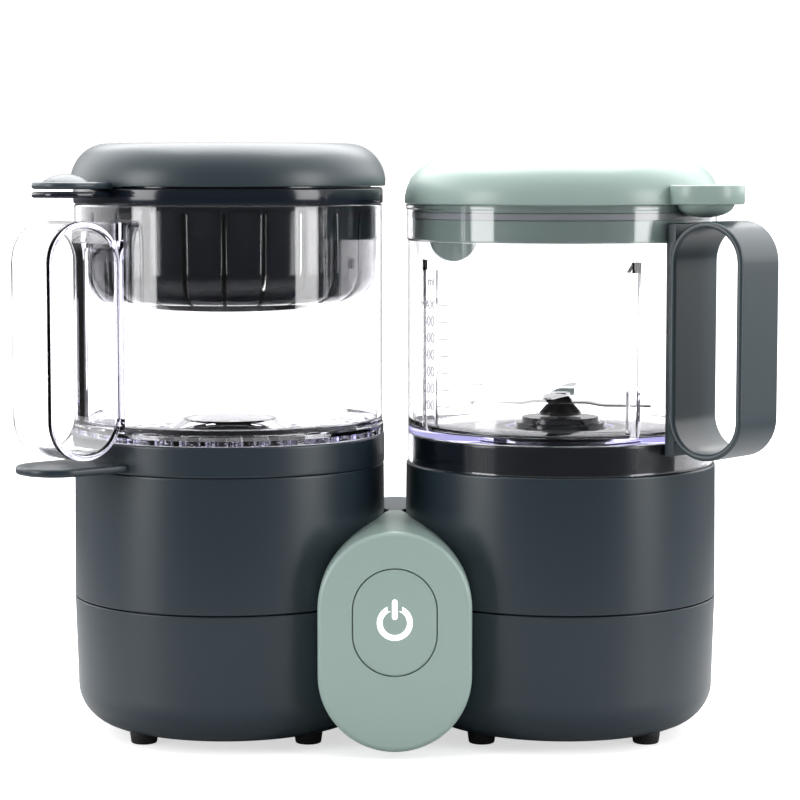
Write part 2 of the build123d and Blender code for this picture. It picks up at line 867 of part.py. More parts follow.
def strap_loop(x, angle):
    """A pill-shaped loop of strap, rounded along its edges, with the flat root that joins the wall."""
    side = radial_plane(x, angle)
    a = math.radians(angle)
    middle = (handle_seat + handle_reach) / 2
    loop_width = handle_reach - handle_seat
    loop_height = handle_top - handle_bottom
    centre_height = (handle_bottom + handle_top) / 2
    half_width = handle_width / 2
    with BuildPart() as loop:
        with BuildSketch(side) as ring:
            with Locations((middle, centre_height)):
                SlotOverall(loop_height, loop_width, rotation=90)
                SlotOverall(
                    loop_height - 2 * strap_thickness,
                    loop_width - 2 * strap_thickness,
                    rotation=90,
                    mode=Mode.SUBTRACT,
                )
        extrude(ring.sketch, amount=half_width + strap_taper, both=True)
        plan = Plane(origin=(x, axis_y, handle_bottom - overcut), x_dir=(math.cos(a), math.sin(a), 0))
        with BuildSketch(plan) as taper:
            with BuildLine():
                Polyline(
                    (handle_seat - overcut, -half_width),
                    (handle_reach + overcut, strap_taper - half_width),
                    (handle_reach + overcut, half_width - strap_taper),
                    (handle_seat - overcut, half_width),
                    close=True,
                )
            make_face()
        extrude(taper.sketch, amount=loop_height + 2 * overcut, mode=Mode.INTERSECT)
        flanks = loop.faces().filter_by(GeomType.PLANE).sort_by(SortBy.AREA)[-2:]
        fillet(flanks.edges(), strap_rounding)
        with BuildSketch(side) as root:
            with Locations((handle_seat + (strap_thickness - root_depth) / 2, centre_height)):
                Rectangle(root_depth + strap_thickness, loop_height - 2 * spine_inset)
        extrude(root.sketch, amount=half_width - strap_rounding, both=True)
    return loop.part


# ---------------------------------------------------------------- blender jar and its handle
jar_bottom = deck_height + rest_gap
jar_inner = vessel_radius - vessel_wall
skirt_inner = carrier_radius + run_gap
jar_floor_top = jar_floor_under + floor_thickness
collar_bottom = jar_top - collar_height
collar_outer = vessel_radius + collar_step
collar_inner = collar_outer - vessel_wall
rim_step = 1.1
rim_radius = vessel_radius + rim_step
rim_height = 1.5
rim_slope = 0.5
floor_hole_radius = dome_radius + 0.6
rib_angles = (-65.0, -155.0, 25.0)
rib_depth = 5.0
rib_width = 4.4
rib_top = 212.0
rib_slope = 5.5
lug_radius = 3.6
lug_height = 1.4
lug_heights = (150.0, 205.0)
lug_root = 1.0  # how far a lug is buried in the wall
rib_root = 1.0  # and a rib, in the wall and in the floor
corner_fillet = 4.0


def wall_plane(reach, height):
    """An upright plane under the jar's grip that faces outwards, this far from the tower axis."""
    outwards = (math.cos(right_swing), math.sin(right_swing), 0)
    place = (tower_x + reach * outwards[0], axis_y + reach * outwards[1], height)
    return Plane(origin=place, z_dir=outwards)


with BuildPart() as blender_jar:
    spin(
        right_section,
        right_axis,
        [
            (skirt_inner, jar_bottom),
            (vessel_radius, jar_bottom),
            (vessel_radius, collar_bottom),
            (collar_outer, collar_bottom + collar_step),
            (collar_outer, jar_top - rim_height - rim_slope),
            (rim_radius, jar_top - rim_height),
            (rim_radius, jar_top),
            (collar_inner, jar_top),
            (collar_inner, collar_bottom + collar_step),
            (jar_inner, collar_bottom),
            (jar_inner, jar_floor_top + corner_fillet),
            (jar_inner - corner_fillet, jar_floor_top),
            (floor_hole_radius, jar_floor_top),
            (floor_hole_radius, jar_floor_under),
            (skirt_inner, jar_floor_under),
        ],
    )
    for rib_angle in rib_angles:
        with BuildSketch(radial_plane(tower_x, rib_angle)) as rib:
            with BuildLine():
                Polyline(
                    (jar_inner + rib_root, jar_floor_top - rib_root),
                    (jar_inner - rib_depth, jar_floor_top - rib_root),
                    (jar_inner - rib_depth, rib_top - rib_slope),
                    (jar_inner + rib_root, rib_top + rib_root),
                    close=True,
                )
            make_face()
        extrude(rib.sketch, amount=rib_width / 2, both=True)
    for height in lug_heights:
        with BuildSketch(wall_plane(jar_inner + lug_root, height)) as lug:
            Circle(lug_radius)
        extrude(lug.sketch, amount=vessel_wall - lug_root + lug_height)
save(blender_jar, "blender_jar")

jar_strap = strap_loop(tower_x, right_handle_angle)
handle_gap = 0.15  # between the grip and the wall that it stands against
pocket_gap = 0.2  # around each lug
collar_relief = collar_bottom - 1.0  # the grip stands further out from here up
with BuildPart() as jar_handle:
    add(jar_strap)
    tube(
        right_section,
        right_axis,
        0,
        vessel_radius + handle_gap,
        handle_bottom - overcut,
        collar_relief,
        Mode.SUBTRACT,
    )
    tube(
        right_section,
        right_axis,
        0,
        rim_radius + handle_gap,
        collar_relief,
        handle_top + overcut,
        Mode.SUBTRACT,
    )
    for height in lug_heights:
        with BuildSketch(wall_plane(jar_inner, height)) as pocket:
            Circle(lug_radius + pocket_gap)
        extrude(pocket.sketch, amount=vessel_wall + lug_height + pocket_gap, mode=Mode.SUBTRACT)
save(jar_handle, "jar_handle")


# ---------------------------------------------------------------- lids
def lid_shell(section, axis, bottom, ring_inner):
    """A lid's shell: an upright edge, a quarter-ellipse shoulder, a flat top and a ring underneath."""
    inner = cap_radius - cap_wall
    with BuildSketch(section) as shell:
        with BuildLine():
            Polyline((cap_radius, bottom), (cap_radius, bottom + cap_edge))
            EllipticalCenterArc(
                (cap_flat_radius, bottom + cap_edge),
                cap_radius - cap_flat_radius,
                cap_height - cap_edge,
                start_angle=0,
                arc_size=90,
            )
            Polyline(
                (cap_flat_radius, bottom + cap_height),
                (0, bottom + cap_height),
                (0, bottom + cap_height - cap_wall),
                (cap_flat_radius, bottom + cap_height - cap_wall),
            )
            EllipticalCenterArc(
                (cap_flat_radius, bottom + cap_wall),
                inner - cap_flat_radius,
                cap_height - 2 * cap_wall,
                start_angle=0,
                arc_size=90,
            )
            Polyline(
                (inner, bottom + cap_wall),
                (ring_inner, bottom + cap_wall),
                (ring_inner, bottom),
                (cap_radius, bottom),
            )
        make_face()
    revolve(shell.sketch, axis=axis)


def pole_arc(edge_radius, edge_height, pole_height):
    """The arc of a sphere centred on the axis, from a rim to the pole, in the current line."""
    rise = pole_height - edge_height
    ball = (edge_radius**2 + rise**2) / (2 * rise)
    half = math.asin(edge_radius / abs(ball)) / 2
    if abs(rise) > edge_radius:
        half = math.pi / 2 - half
    middle = (abs(ball) * math.sin(half), pole_height - ball * (1 - math.cos(half)))
    ThreePointArc((edge_radius, edge_height), middle, (0, pole_height))


tab_root = 65.0
neck_lean = math.radians(27)  # where a tab's neck leaves its round end, past square


def tongue(x, angle, centre, tip_radius, root_half_width, bottom, top):
    """A finger tab: a round end on a neck that runs in to the lid's or basket's edge."""
    neck_start = centre - tip_radius * math.sin(neck_lean)
    neck_half = tip_radius * math.cos(neck_lean)
    a = math.radians(angle)
    plan = Plane(origin=(x, axis_y, bottom), x_dir=(math.cos(a), math.sin(a), 0))
    with BuildSketch(plan) as tab:
        with Locations((centre, 0)):
            Circle(tip_radius)
        with BuildLine():
            Polyline(
                (tab_root, -root_half_width),
                (neck_start, -neck_half),
                (neck_start, neck_half),
                (tab_root, root_half_width),
                close=True,
            )
        make_face()
    extrude(tab.sketch, amount=top - bottom)


thumb_centre = 75.8
thumb_radius = 16.8
thumb_height = 8.5
thumb_bowl_radius = 12.0
thumb_bowl_depth = 5.4
thumb_wall = 1.9
thumb_gap = 0.5
lid_gap = 0.5
blender_lid_bottom = jar_top + run_gap
lid_inner_radius = collar_inner - lid_gap
jar_skirt_bottom = blender_lid_bottom - blender_skirt_depth

thumb_x = tower_x + thumb_centre * math.cos(right_swing)
thumb_y = axis_y + thumb_centre * math.sin(right_swing)
thumb_section = Plane(origin=(thumb_x, thumb_y, 0), x_dir=(1, 0, 0), z_dir=(0, -1, 0))
thumb_axis = Axis((thumb_x, thumb_y, 0), (0, 0, 1))
thumb_top = blender_lid_bottom + thumb_height
thumb_pole = blender_lid_bottom - thumb_bowl_depth
with BuildPart() as blender_lid_cap:
    with BuildSketch(thumb_section) as thumb:
        with BuildLine():
            pole_arc(thumb_bowl_radius, blender_lid_bottom, thumb_pole)
            Line((0, thumb_pole), (0, thumb_pole + thumb_wall))
            pole_arc(thumb_radius - thumb_wall, thumb_top, thumb_pole + thumb_wall)
            Polyline(
                (thumb_radius - thumb_wall, thumb_top),
                (thumb_radius, thumb_top),
                (thumb_radius, blender_lid_bottom),
                (thumb_bowl_radius, blender_lid_bottom),
            )
        make_face()
    revolve(thumb.sketch, axis=thumb_axis)
    tube(
        right_section,
        right_axis,
        0,
        rim_radius + thumb_gap,
        thumb_pole - overcut,
        thumb_top + overcut,
        Mode.SUBTRACT,
    )
    lid_shell(right_section, right_axis, blender_lid_bottom, lid_inner_radius)
save(blender_lid_cap, "blender_lid_cap")

seal_width = 1.6
seal_drop = 6.5
groove_height = 3.0
liner_recess = 2.0  # from the lower edge of the skirt up to its floor
groove_bottom = blender_lid_bottom - seal_drop
groove_top = groove_bottom + groove_height
liner_floor = jar_skirt_bottom + liner_recess
flap_radius = 11.0
flap_angle = 180.0 - handle_angle
flap_drop = 0.2
flap_inset = 3.0
flap_thickness = 2.0
flap_cut = 4.0  # the flap's round end stops this far above the skirt's lower edge
flap_turn = math.radians(flap_angle)
flap_reach = lid_inner_radius - lid_skirt_wall - flap_inset
with BuildPart() as blender_lid_liner:
    tube(
        right_section,
        right_axis,
        lid_inner_radius - lid_skirt_wall,
        lid_inner_radius,
        jar_skirt_bottom,
        blender_lid_bottom + cap_wall,
    )
    tube(right_section, right_axis, 0, lid_inner_radius, liner_floor, liner_floor + lid_skirt_wall)
    tube(
        right_section,
        right_axis,
        lid_inner_radius - seal_width,
        lid_inner_radius + overcut,
        groove_bottom,
        groove_top,
        Mode.SUBTRACT,
    )
    tube(
        right_section,
        right_axis,
        lid_inner_radius - seal_width - lid_skirt_wall,
        lid_inner_radius - seal_width,
        groove_bottom - lid_skirt_wall,
        groove_top + lid_skirt_wall,
    )
    flap_plane = Plane(
        origin=(
            tower_x + flap_reach * math.cos(flap_turn),
            axis_y + flap_reach * math.sin(flap_turn),
            jar_skirt_bottom - flap_drop,
        ),
        x_dir=(-math.sin(flap_turn), math.cos(flap_turn), 0),
        z_dir=(math.cos(flap_turn), math.sin(flap_turn), 0),
    )
    with BuildSketch(flap_plane) as flap:
        Circle(flap_radius)
        with Locations((0, flap_radius / 2)):
            Rectangle(2 * flap_radius, flap_radius)
        with Locations((0, flap_radius + flap_drop + flap_cut)):
            Rectangle(3 * flap_radius, 2 * flap_radius, mode=Mode.SUBTRACT)
    extrude(flap.sketch, amount=flap_thickness)
save(blender_lid_liner, "blender_lid_liner")

seal_play = 0.1
with BuildPart() as blender_lid_seal:
    tube(
        right_section,
        right_axis,
        lid_inner_radius - seal_width + seal_play,
        collar_inner - seal_play,
        groove_bottom + 2 * seal_play,
        groove_top - 2 * seal_play,
    )
save(blender_lid_seal, "blender_lid_seal")

# ---------------------------------------------------------------- steamer tower: tray and bowl
tray_radius = base_radius - run_gap
tray_wall = 2.2
tray_bottom = deck_height + rest_gap
tray_top = deck_height + tray_height
chimney_radius = 46.6
chimney_wall = 2.0
chimney_drop = 2.5
chimney_top = tray_top - chimney_drop
chimney_inner = chimney_radius - chimney_wall
tray_tab_lift = 0.9
tray_tab_bottom = tray_bottom + tray_tab_lift
tray_tab_thickness = 3.6
tray_tab_reach = 108.0
tray_tab_width = handle_width + 2.0
tray_tab_corner = 15.0
tray_tab_bury = 6.0  # how far the tab runs in under the ring
tray_tab_root = 26.0  # length of the square root of the tab
root_shift = 3.0
tab_inner = tray_radius - tray_wall
tab_start = tab_inner - tray_tab_bury
with BuildPart() as drip_tray:
    tube(left_section, left_axis, chimney_inner, tray_radius, tray_bottom, tray_bottom + tray_wall)
    tube(left_section, left_axis, tray_radius - tray_wall, tray_radius, tray_bottom, tray_top)
    tube(left_section, left_axis, chimney_inner, chimney_radius, tray_bottom, chimney_top)
    tab_plane = Plane(
        origin=(-tower_x, axis_y, tray_tab_bottom),
        x_dir=(math.cos(left_swing), math.sin(left_swing), 0),
    )
    with BuildSketch(tab_plane) as tray_tab:
        with Locations(((tab_start + tray_tab_reach) / 2, 0)):
            RectangleRounded(tray_tab_reach - tab_start, tray_tab_width, tray_tab_corner)
        with Locations((tab_inner - root_shift, 0)):
            Rectangle(tray_tab_root, tray_tab_width)
        Circle(tab_inner, mode=Mode.SUBTRACT)
    extrude(tray_tab.sketch, amount=tray_tab_thickness)
save(drip_tray, "drip_tray")

bowl_flange_radius = 68.9
bowl_bottom = tray_top + rest_gap
bowl_inner = vessel_radius - vessel_wall
bowl_floor = 2.0
ledge_height = 4.7
boss_height = 6.3
bowl_floor_bottom = bowl_bottom
bowl_floor_top = bowl_bottom + bowl_floor
ledge_top = bowl_bottom + ledge_height
ledge_inner = 62.0
ledge_slope = 1.5
ledge_shoulder = 2.0
flange_edge = 0.6
flange_slope = 0.8
boss_top = bowl_bottom + boss_height
boss_top_radius = 20.5
boss_base_radius = 27.0
boss_skin = 2.0
boss_draft = 1.0
floor_slots = 32
floor_slot_circle = 57.5
floor_slot_size = (5.6, 2.0)
hole_radius = 1.1
hole_rings = ((50.0, 30), (43.0, 26), (36.0, 22))  # radius of each ring and holes in it
throat_slots = 16
throat_circle = 30.7
throat_slot_size = (6.0, 2.4)
grip_bury = 0.4  # the grip's root stops this far outside the inner face
grip_relief = tray_radius + 0.6
bowl_strap = strap_loop(-tower_x, left_handle_angle)
with BuildPart() as bowl_grip:
    add(bowl_strap)
    tube(
        left_section,
        left_axis,
        0,
        bowl_inner + grip_bury,
        handle_bottom - overcut,
        handle_top + overcut,
        Mode.SUBTRACT,
    )
    tube(left_section, left_axis, 0, grip_relief, handle_bottom - overcut, bowl_bottom, Mode.SUBTRACT)

with BuildPart() as steam_bowl:
    spin(
        left_section,
        left_axis,
        [
            (0, boss_top - boss_skin),
            (boss_top_radius - boss_draft, boss_top - boss_skin),
            (boss_base_radius - boss_draft, bowl_floor_bottom),
            (bowl_flange_radius, bowl_floor_bottom),
            (bowl_flange_radius, ledge_top - flange_edge),
            (vessel_radius, ledge_top - flange_edge + flange_slope),
            (vessel_radius, bowl_top),
            (bowl_inner, bowl_top),
            (bowl_inner, ledge_top + ledge_shoulder),
            (ledge_inner + ledge_slope, ledge_top),
            (ledge_inner, bowl_floor_top),
            (boss_base_radius, bowl_floor_top),
            (boss_top_radius, boss_top),
            (0, boss_top),
        ],
    )
    add(bowl_grip.part)
    with BuildSketch(level(-tower_x, bowl_floor_bottom)) as openings:
        with PolarLocations(floor_slot_circle, floor_slots):
            SlotOverall(*floor_slot_size, rotation=90)
        with PolarLocations(throat_circle, throat_slots):
            SlotOverall(*throat_slot_size, rotation=90)
        for ring_radius, ring_count in hole_rings:
            with PolarLocations(ring_radius, ring_count):
                Circle(hole_radius)
    extrude(openings.sketch, amount=bowl_floor_top - bowl_floor_bottom, mode=Mode.SUBTRACT)
save(steam_bowl, "steam_bowl")

# ---------------------------------------------------------------- small basket and steamer lid
basket_gap = 0.6
basket_radius = bowl_inner - basket_gap
basket_wall = 1.8
basket_rim_bottom = bowl_top + rest_gap
basket_rim_top = basket_rim_bottom + basket_rim_height
basket_rim_inset = 1.2
basket_rim_radius = cap_radius - basket_rim_inset
basket_corner = 13.5
basket_floor = 192.4
basket_foot_radius = 36.0
basket_foot_height = 3.4
basket_foot_slope = 2.0
basket_slots = 24
basket_slot_width = 1.6
basket_slot_top = 231.6
basket_slot_reach = 20.0  # length of the cut in from the wall, over the rounded corner
basket_slot_circle = basket_radius - 6.0
first_slot_angle = -88.0
basket_tab_bottom = basket_rim_bottom + 2.9
basket_tab_thickness = 2.6
tab_centre = 85.0
tab_radius = 14.0
tab_half_root = 10.0
with BuildPart() as small_basket:
    with BuildSketch(left_section) as basket_profile:
        with BuildLine():
            Polyline(
                (basket_radius, basket_floor + basket_corner),
                (basket_radius, basket_rim_bottom),
                (basket_rim_radius, basket_rim_bottom),
                (basket_rim_radius, basket_rim_top),
                (basket_radius - basket_wall, basket_rim_top),
                (basket_radius - basket_wall, basket_floor + basket_corner),
            )
            RadiusArc(
                (basket_radius - basket_wall, basket_floor + basket_corner),
                (basket_radius - basket_corner, basket_floor + basket_wall),
                basket_corner - basket_wall,
            )
            Polyline(
                (basket_radius - basket_corner, basket_floor + basket_wall),
                (basket_foot_radius + basket_foot_slope / 2, basket_floor + basket_wall),
                (
                    basket_foot_radius - basket_foot_slope / 2,
                    basket_floor - basket_foot_height + basket_wall,
                ),
                (0, basket_floor - basket_foot_height + basket_wall),
                (0, basket_floor - basket_foot_height),
                (basket_foot_radius, basket_floor - basket_foot_height),
                (basket_foot_radius + basket_foot_slope, basket_floor),
                (basket_radius - basket_corner, basket_floor),
            )
            RadiusArc(
                (basket_radius - basket_corner, basket_floor),
                (basket_radius, basket_floor + basket_corner),
                -basket_corner,
            )
        make_face()
    revolve(basket_profile.sketch, axis=left_axis)
    with BuildSketch(level(-tower_x, basket_floor - overcut)) as slits:
        with PolarLocations(basket_slot_circle, basket_slots, start_angle=first_slot_angle):
            Rectangle(basket_slot_reach, basket_slot_width)
    extrude(slits.sketch, amount=basket_slot_top - basket_floor + overcut, mode=Mode.SUBTRACT)
    tongue(
        -tower_x,
        left_handle_angle,
        tab_centre,
        tab_radius,
        tab_half_root,
        basket_tab_bottom,
        basket_tab_bottom + basket_tab_thickness,
    )
    tube(
        left_section,
        left_axis,
        0,
        basket_radius - basket_wall,
        basket_rim_bottom,
        basket_rim_top,
        Mode.SUBTRACT,
    )
save(small_basket, "small_basket")

steam_lid_gap = 0.6
steam_skirt_depth = 6.0
steam_lid_bottom = basket_rim_top + steam_lid_gap
steam_skirt_radius = basket_radius - basket_wall - run_gap
steam_skirt_bottom = steam_lid_bottom - steam_skirt_depth
bump_radius = 9.1
bump_height = 3.4
tab_parting = 1.1  # between the basket's tab and the lid's tab over it
lid_tab_thickness = 3.0
lid_tab_bottom = basket_tab_bottom + basket_tab_thickness + tab_parting
lid_tab_top = lid_tab_bottom + lid_tab_thickness
bump_x = -tower_x + tab_centre * math.cos(left_swing)
bump_y = axis_y + tab_centre * math.sin(left_swing)
with BuildPart() as steam_lid:
    tongue(
        -tower_x,
        left_handle_angle,
        tab_centre,
        tab_radius,
        tab_half_root,
        lid_tab_bottom,
        lid_tab_top,
    )
    with BuildSketch(Plane(origin=(bump_x, bump_y, 0), x_dir=(1, 0, 0), z_dir=(0, -1, 0))) as bump:
        with BuildLine():
            Polyline(
                (0, lid_tab_top + bump_height),
                (0, lid_tab_bottom),
                (bump_radius, lid_tab_bottom),
                (bump_radius, lid_tab_top),
            )
            pole_arc(bump_radius, lid_tab_top, lid_tab_top + bump_height)
        make_face()
    revolve(bump.sketch, axis=Axis((bump_x, bump_y, 0), (0, 0, 1)))
    tube(
        left_section,
        left_axis,
        0,
        basket_rim_radius + run_gap,
        lid_tab_bottom - overcut,
        lid_tab_top + overcut,
        Mode.SUBTRACT,
    )
    lid_shell(left_section, left_axis, steam_lid_bottom, steam_skirt_radius - lid_skirt_wall)
save(steam_lid, "steam_lid")

with BuildPart() as steam_lid_skirt:
    tube(
        left_section,
        left_axis,
        steam_skirt_radius - lid_skirt_wall,
        steam_skirt_radius,
        steam_skirt_bottom,
        steam_lid_bottom,
    )
    tube(
        left_section,
        left_axis,
        0,
        steam_skirt_radius - lid_skirt_wall,
        steam_lid_bottom - lid_skirt_wall,
        steam_lid_bottom,
    )
save(steam_lid_skirt, "steam_lid_skirt")

# ---------------------------------------------------------------- control pod
tower_gap = 0.15
tower_clearance = base_radius + tower_gap
pod_joint = 0.2  # each half of the pod stops this far from the middle plane
opening_width = button_width + 2 * button_gap
opening_height = button_height + 2 * button_gap
half_button = button_height / 2


def cut_towers():
    """Takes the two towers out of a pod shell, with a hair of clearance."""
    for section, axis in towers:
        tube(section, axis, 0, tower_clearance, -overcut, deck_height, Mode.SUBTRACT)


post_radius = 2.6
post_x = 14.0
post_heights = (33.0, 83.0)
post_bore = 1.0
board_depth = 16.5  # from the pod's face back to the board
board_front = pod_front - board_depth
board_thickness = 1.6
board_width = 40.0
board_bottom = 27.0
board_top = 89.0
with BuildPart() as control_fascia:
    pod_block(pod_front, pod_joint, 0)
    front_rim = control_fascia.faces().sort_by(Axis.Y)[0].edges()
    fillet(front_rim, pod_edge)
    pod_block(pod_front - shell_wall, pod_joint, shell_wall, Mode.SUBTRACT)
    cut_towers()
    with BuildSketch(pod_plane(pod_front - shell_wall - overcut)) as opening:
        pill(opening_width, button_centre - opening_height / 2, button_centre + opening_height / 2)
    extrude(opening.sketch, amount=shell_wall + 2 * overcut, mode=Mode.SUBTRACT)
    with BuildSketch(pod_plane(board_front)) as posts:
        for height in post_heights:
            with Locations((-post_x, height), (post_x, height)):
                Circle(post_radius)
                Circle(post_bore, mode=Mode.SUBTRACT)
    extrude(posts.sketch, amount=pod_front - shell_wall - board_front)
save(control_fascia, "control_fascia")

flange_lip = 1.8
flange_depth = 1.4
stem_radius = 4.0
stem_length = 7.0
button_chamfer = 0.4
button_back = pod_front - shell_wall - run_gap
with BuildPart() as button_cap:
    with BuildSketch(pod_plane(button_back)) as face:
        pill(button_width, button_centre - half_button, button_centre + half_button)
    extrude(face.sketch, amount=pod_front - button_back)
    chamfer(button_cap.faces().sort_by(Axis.Y)[0].edges(), button_chamfer)
    with BuildSketch(pod_plane(button_back - flange_depth)) as flange:
        pill(
            button_width + 2 * flange_lip,
            button_centre - half_button - flange_lip,
            button_centre + half_button + flange_lip,
        )
    extrude(flange.sketch, amount=flange_depth)
    with BuildSketch(pod_plane(button_back - flange_depth - stem_length)) as stem:
        with Locations((0, button_centre)):
            Circle(stem_radius)
    extrude(stem.sketch, amount=stem_length)
save(button_cap, "button_cap")

emblem_radius = 7.6
emblem_stroke = 2.4
emblem_proud = 0.15
emblem_break = (2.6 * emblem_stroke, 2.2 * emblem_stroke)  # gap in the ring around the upright bar
bar_length = 1.15 * emblem_radius
bar_lift = 0.75 * emblem_radius
with BuildPart() as button_emblem:
    with BuildSketch(pod_plane(pod_front)) as emblem:
        with Locations((0, button_centre)):
            Circle(emblem_radius)
            Circle(emblem_radius - emblem_stroke, mode=Mode.SUBTRACT)
        with Locations((0, button_centre + emblem_radius)):
            Rectangle(*emblem_break, mode=Mode.SUBTRACT)
        with Locations((0, button_centre + bar_lift)):
            SlotOverall(bar_length, emblem_stroke, rotation=90)
    extrude(emblem.sketch, amount=emblem_proud)
save(button_emblem, "button_emblem")

board_corner = 12.0
board_hole = 1.2
relay_place = (-10.0, 72.0)
relay_size = (11.0, 18.0)
relay_depth = 12.0
capacitor_place = (10.0, 70.0)
capacitor_radius = 5.0
capacitor_depth = 9.0
board_back = board_front - board_thickness
with BuildPart() as control_board:
    with BuildSketch(pod_plane(board_back)) as board:
        with Locations((0, (board_bottom + board_top) / 2)):
            RectangleRounded(board_width, board_top - board_bottom, board_corner)
        for height in post_heights:
            with Locations((-post_x, height), (post_x, height)):
                Circle(board_hole, mode=Mode.SUBTRACT)
    extrude(board.sketch, amount=board_thickness)
    with BuildSketch(pod_plane(board_back - relay_depth)) as relay:
        with Locations(relay_place):
            Rectangle(*relay_size)
    extrude(relay.sketch, amount=relay_depth)
    with BuildSketch(pod_plane(board_back - capacitor_depth)) as capacitor:
        with Locations(capacitor_place):
            Circle(capacitor_radius)
    extrude(capacitor.sketch, amount=capacitor_depth)
save(control_board, "control_board")

switch_half = 3.5
plunger_radius = 1.8
plunger_gap = 0.3  # left between the stem and the plunger with the button fully in
stem_end = button_back - flange_depth - stem_length
switch_reach = stem_end - board_front - button_travel - plunger_gap
switch_body = 0.7 * switch_reach
with BuildPart() as push_switch:
    with BuildSketch(pod_plane(board_front)) as switch_base:
        with Locations((0, button_centre)):
            Rectangle(2 * switch_half, 2 * switch_half)
    extrude(switch_base.sketch, amount=switch_body)
    with BuildSketch(pod_plane(board_front)) as plunger:
        with Locations((0, button_centre)):
            Circle(plunger_radius)
    extrude(plunger.sketch, amount=switch_reach)
save(push_switch, "push_switch")

spring_radius = 6.4
spring_wire = 0.45
spring_turns = 4
spring_bottom = board_front + spring_wire
spring_length = button_back - flange_depth - board_front - 2 * spring_wire
with BuildPart() as button_spring:
    with BuildLine() as coil:
        Helix(
            spring_length / spring_turns,
            spring_length,
            spring_radius,
            center=(0, axis_y - spring_bottom, button_centre),
            direction=(0, -1, 0),
        )
    with BuildSketch(Plane(origin=coil.line @ 0, z_dir=coil.line % 0)) as spring_section:
        Circle(spring_wire)
    sweep(spring_section.sketch, path=coil.line, is_frenet=True)
save(button_spring, "button_spring")

lamp_offset = 10.0
lamp_radius = 1.6
lamp_height = 3.0
with BuildPart() as indicator_lamp:
    with BuildSketch(pod_plane(board_front)) as lamp:
        with Locations((-lamp_offset, button_centre), (lamp_offset, button_centre)):
            Circle(lamp_radius)
    extrude(lamp.sketch, amount=lamp_height)
save(indicator_lamp, "indicator_lamp")

board_head_radius = 2.0
board_head_height = 1.4
board_shank_radius = 0.95
board_shank_length = 9.6
with BuildPart() as board_screws:
    with BuildSketch(pod_plane(board_back - board_head_height)) as board_heads:
        for height in post_heights:
            with Locations((-post_x, height), (post_x, height)):
                Circle(board_head_radius)
    extrude(board_heads.sketch, amount=board_head_height)
    with BuildSketch(pod_plane(board_back)) as board_shanks:
        for height in post_heights:
            with Locations((-post_x, height), (post_x, height)):
                Circle(board_shank_radius)
    extrude(board_shanks.sketch, amount=board_shank_length)
save(board_screws, "board_screws")

# ---------------------------------------------------------------- rear cover and cord gland
gland_height = 30.0
gland_radius = 5.5
gland_bore = 3.7
gland_flange_radius = 8.0
gland_out = 9.0
gland_in = 4.0
gland_flange = 2.0
with BuildPart() as rear_cover:
    pod_block(-pod_joint, -pod_rear, 0)
    rear_rim = rear_cover.faces().sort_by(Axis.Y)[-1].edges()
    fillet(rear_rim, pod_edge)
    pod_block(-pod_joint, -pod_rear + shell_wall, shell_wall, Mode.SUBTRACT)
    cut_towers()
    with BuildSketch(pod_plane(-pod_rear - overcut)) as gland_hole:
        with Locations((0, gland_height)):
            Circle(gland_radius)
    extrude(gland_hole.sketch, amount=shell_wall + 2 * overcut, mode=Mode.SUBTRACT)
save(rear_cover, "rear_cover")

with BuildPart() as cord_gland:
    with BuildSketch(pod_plane(-pod_rear - gland_out)) as gland:
        with Locations((0, gland_height)):
            Circle(gland_radius)
            Circle(gland_bore, mode=Mode.SUBTRACT)
    extrude(gland.sketch, amount=gland_out + shell_wall + gland_in)
    with BuildSketch(pod_plane(-pod_rear - gland_flange)) as gland_collar:
        with Locations((0, gland_height)):
            Circle(gland_flange_radius)
            Circle(gland_bore, mode=Mode.SUBTRACT)
    extrude(gland_collar.sketch, amount=gland_flange)
    with BuildSketch(pod_plane(-pod_rear + shell_wall)) as gland_nut:
        with Locations((0, gland_height)):
            Circle(gland_flange_radius)
            Circle(gland_bore, mode=Mode.SUBTRACT)
    extrude(gland_nut.sketch, amount=gland_flange)
save(cord_gland, "cord_gland")

# ---------------------------------------------------------------- wiring inside the base
lead_radius = 1.2
lead_spacing = 3.0
lead_bend = 6.0
block_width = 18.0
block_depth = 10.0
block_height = 12.0
block_bottom = 44.0
block_hole_radius = 1.5
block_hole_offset = 6.0
terminal_tip = dish_floor - pad_thickness - thermostat_height - terminal_length


def lead(points):
    """One insulated lead: a round tube along straight runs joined by tangent bends."""
    with BuildLine() as route:
        FilletPolyline(*points, radius=lead_bend)
    with BuildSketch(Plane(origin=route.line @ 0, z_dir=route.line % 0)) as core:
        Circle(lead_radius)
    sweep(core.sketch, path=route.line)


heater_lead_height = lead_height + lead_offset
motor_lead_height = lead_height - lead_offset
with BuildPart() as heater_leads:
    for side in (-1, 1):
        lead(
            [
                (side * lead_spacing, axis_y - board_back, heater_lead_height),
                (side * lead_spacing, axis_y + side * lead_spacing, heater_lead_height),
                (
                    -tower_x + side * terminal_offset,
                    axis_y + side * lead_spacing,
                    heater_lead_height,
                ),
                (-tower_x + side * terminal_offset, axis_y + side * lead_spacing, terminal_tip),
            ]
        )
save(heater_leads, "heater_leads")

with BuildPart() as motor_leads:
    for side in (-1, 1):
        lead(
            [
                (side * lead_spacing, axis_y - board_back, motor_lead_height),
                (side * lead_spacing, axis_y - side * lead_spacing, motor_lead_height),
                (tower_x - motor_radius, axis_y - side * lead_spacing, motor_lead_height),
            ]
        )
save(motor_leads, "motor_leads")

block_y = axis_y + pod_rear - shell_wall - block_depth / 2
with BuildPart() as terminal_block:
    with BuildSketch(Plane((0, block_y, block_bottom))) as block:
        Rectangle(block_width, block_depth)
        with Locations((-block_hole_offset, 0), (0, 0), (block_hole_offset, 0)):
            Circle(block_hole_radius, mode=Mode.SUBTRACT)
    extrude(block.sketch, amount=block_height)
save(terminal_block, "terminal_block")
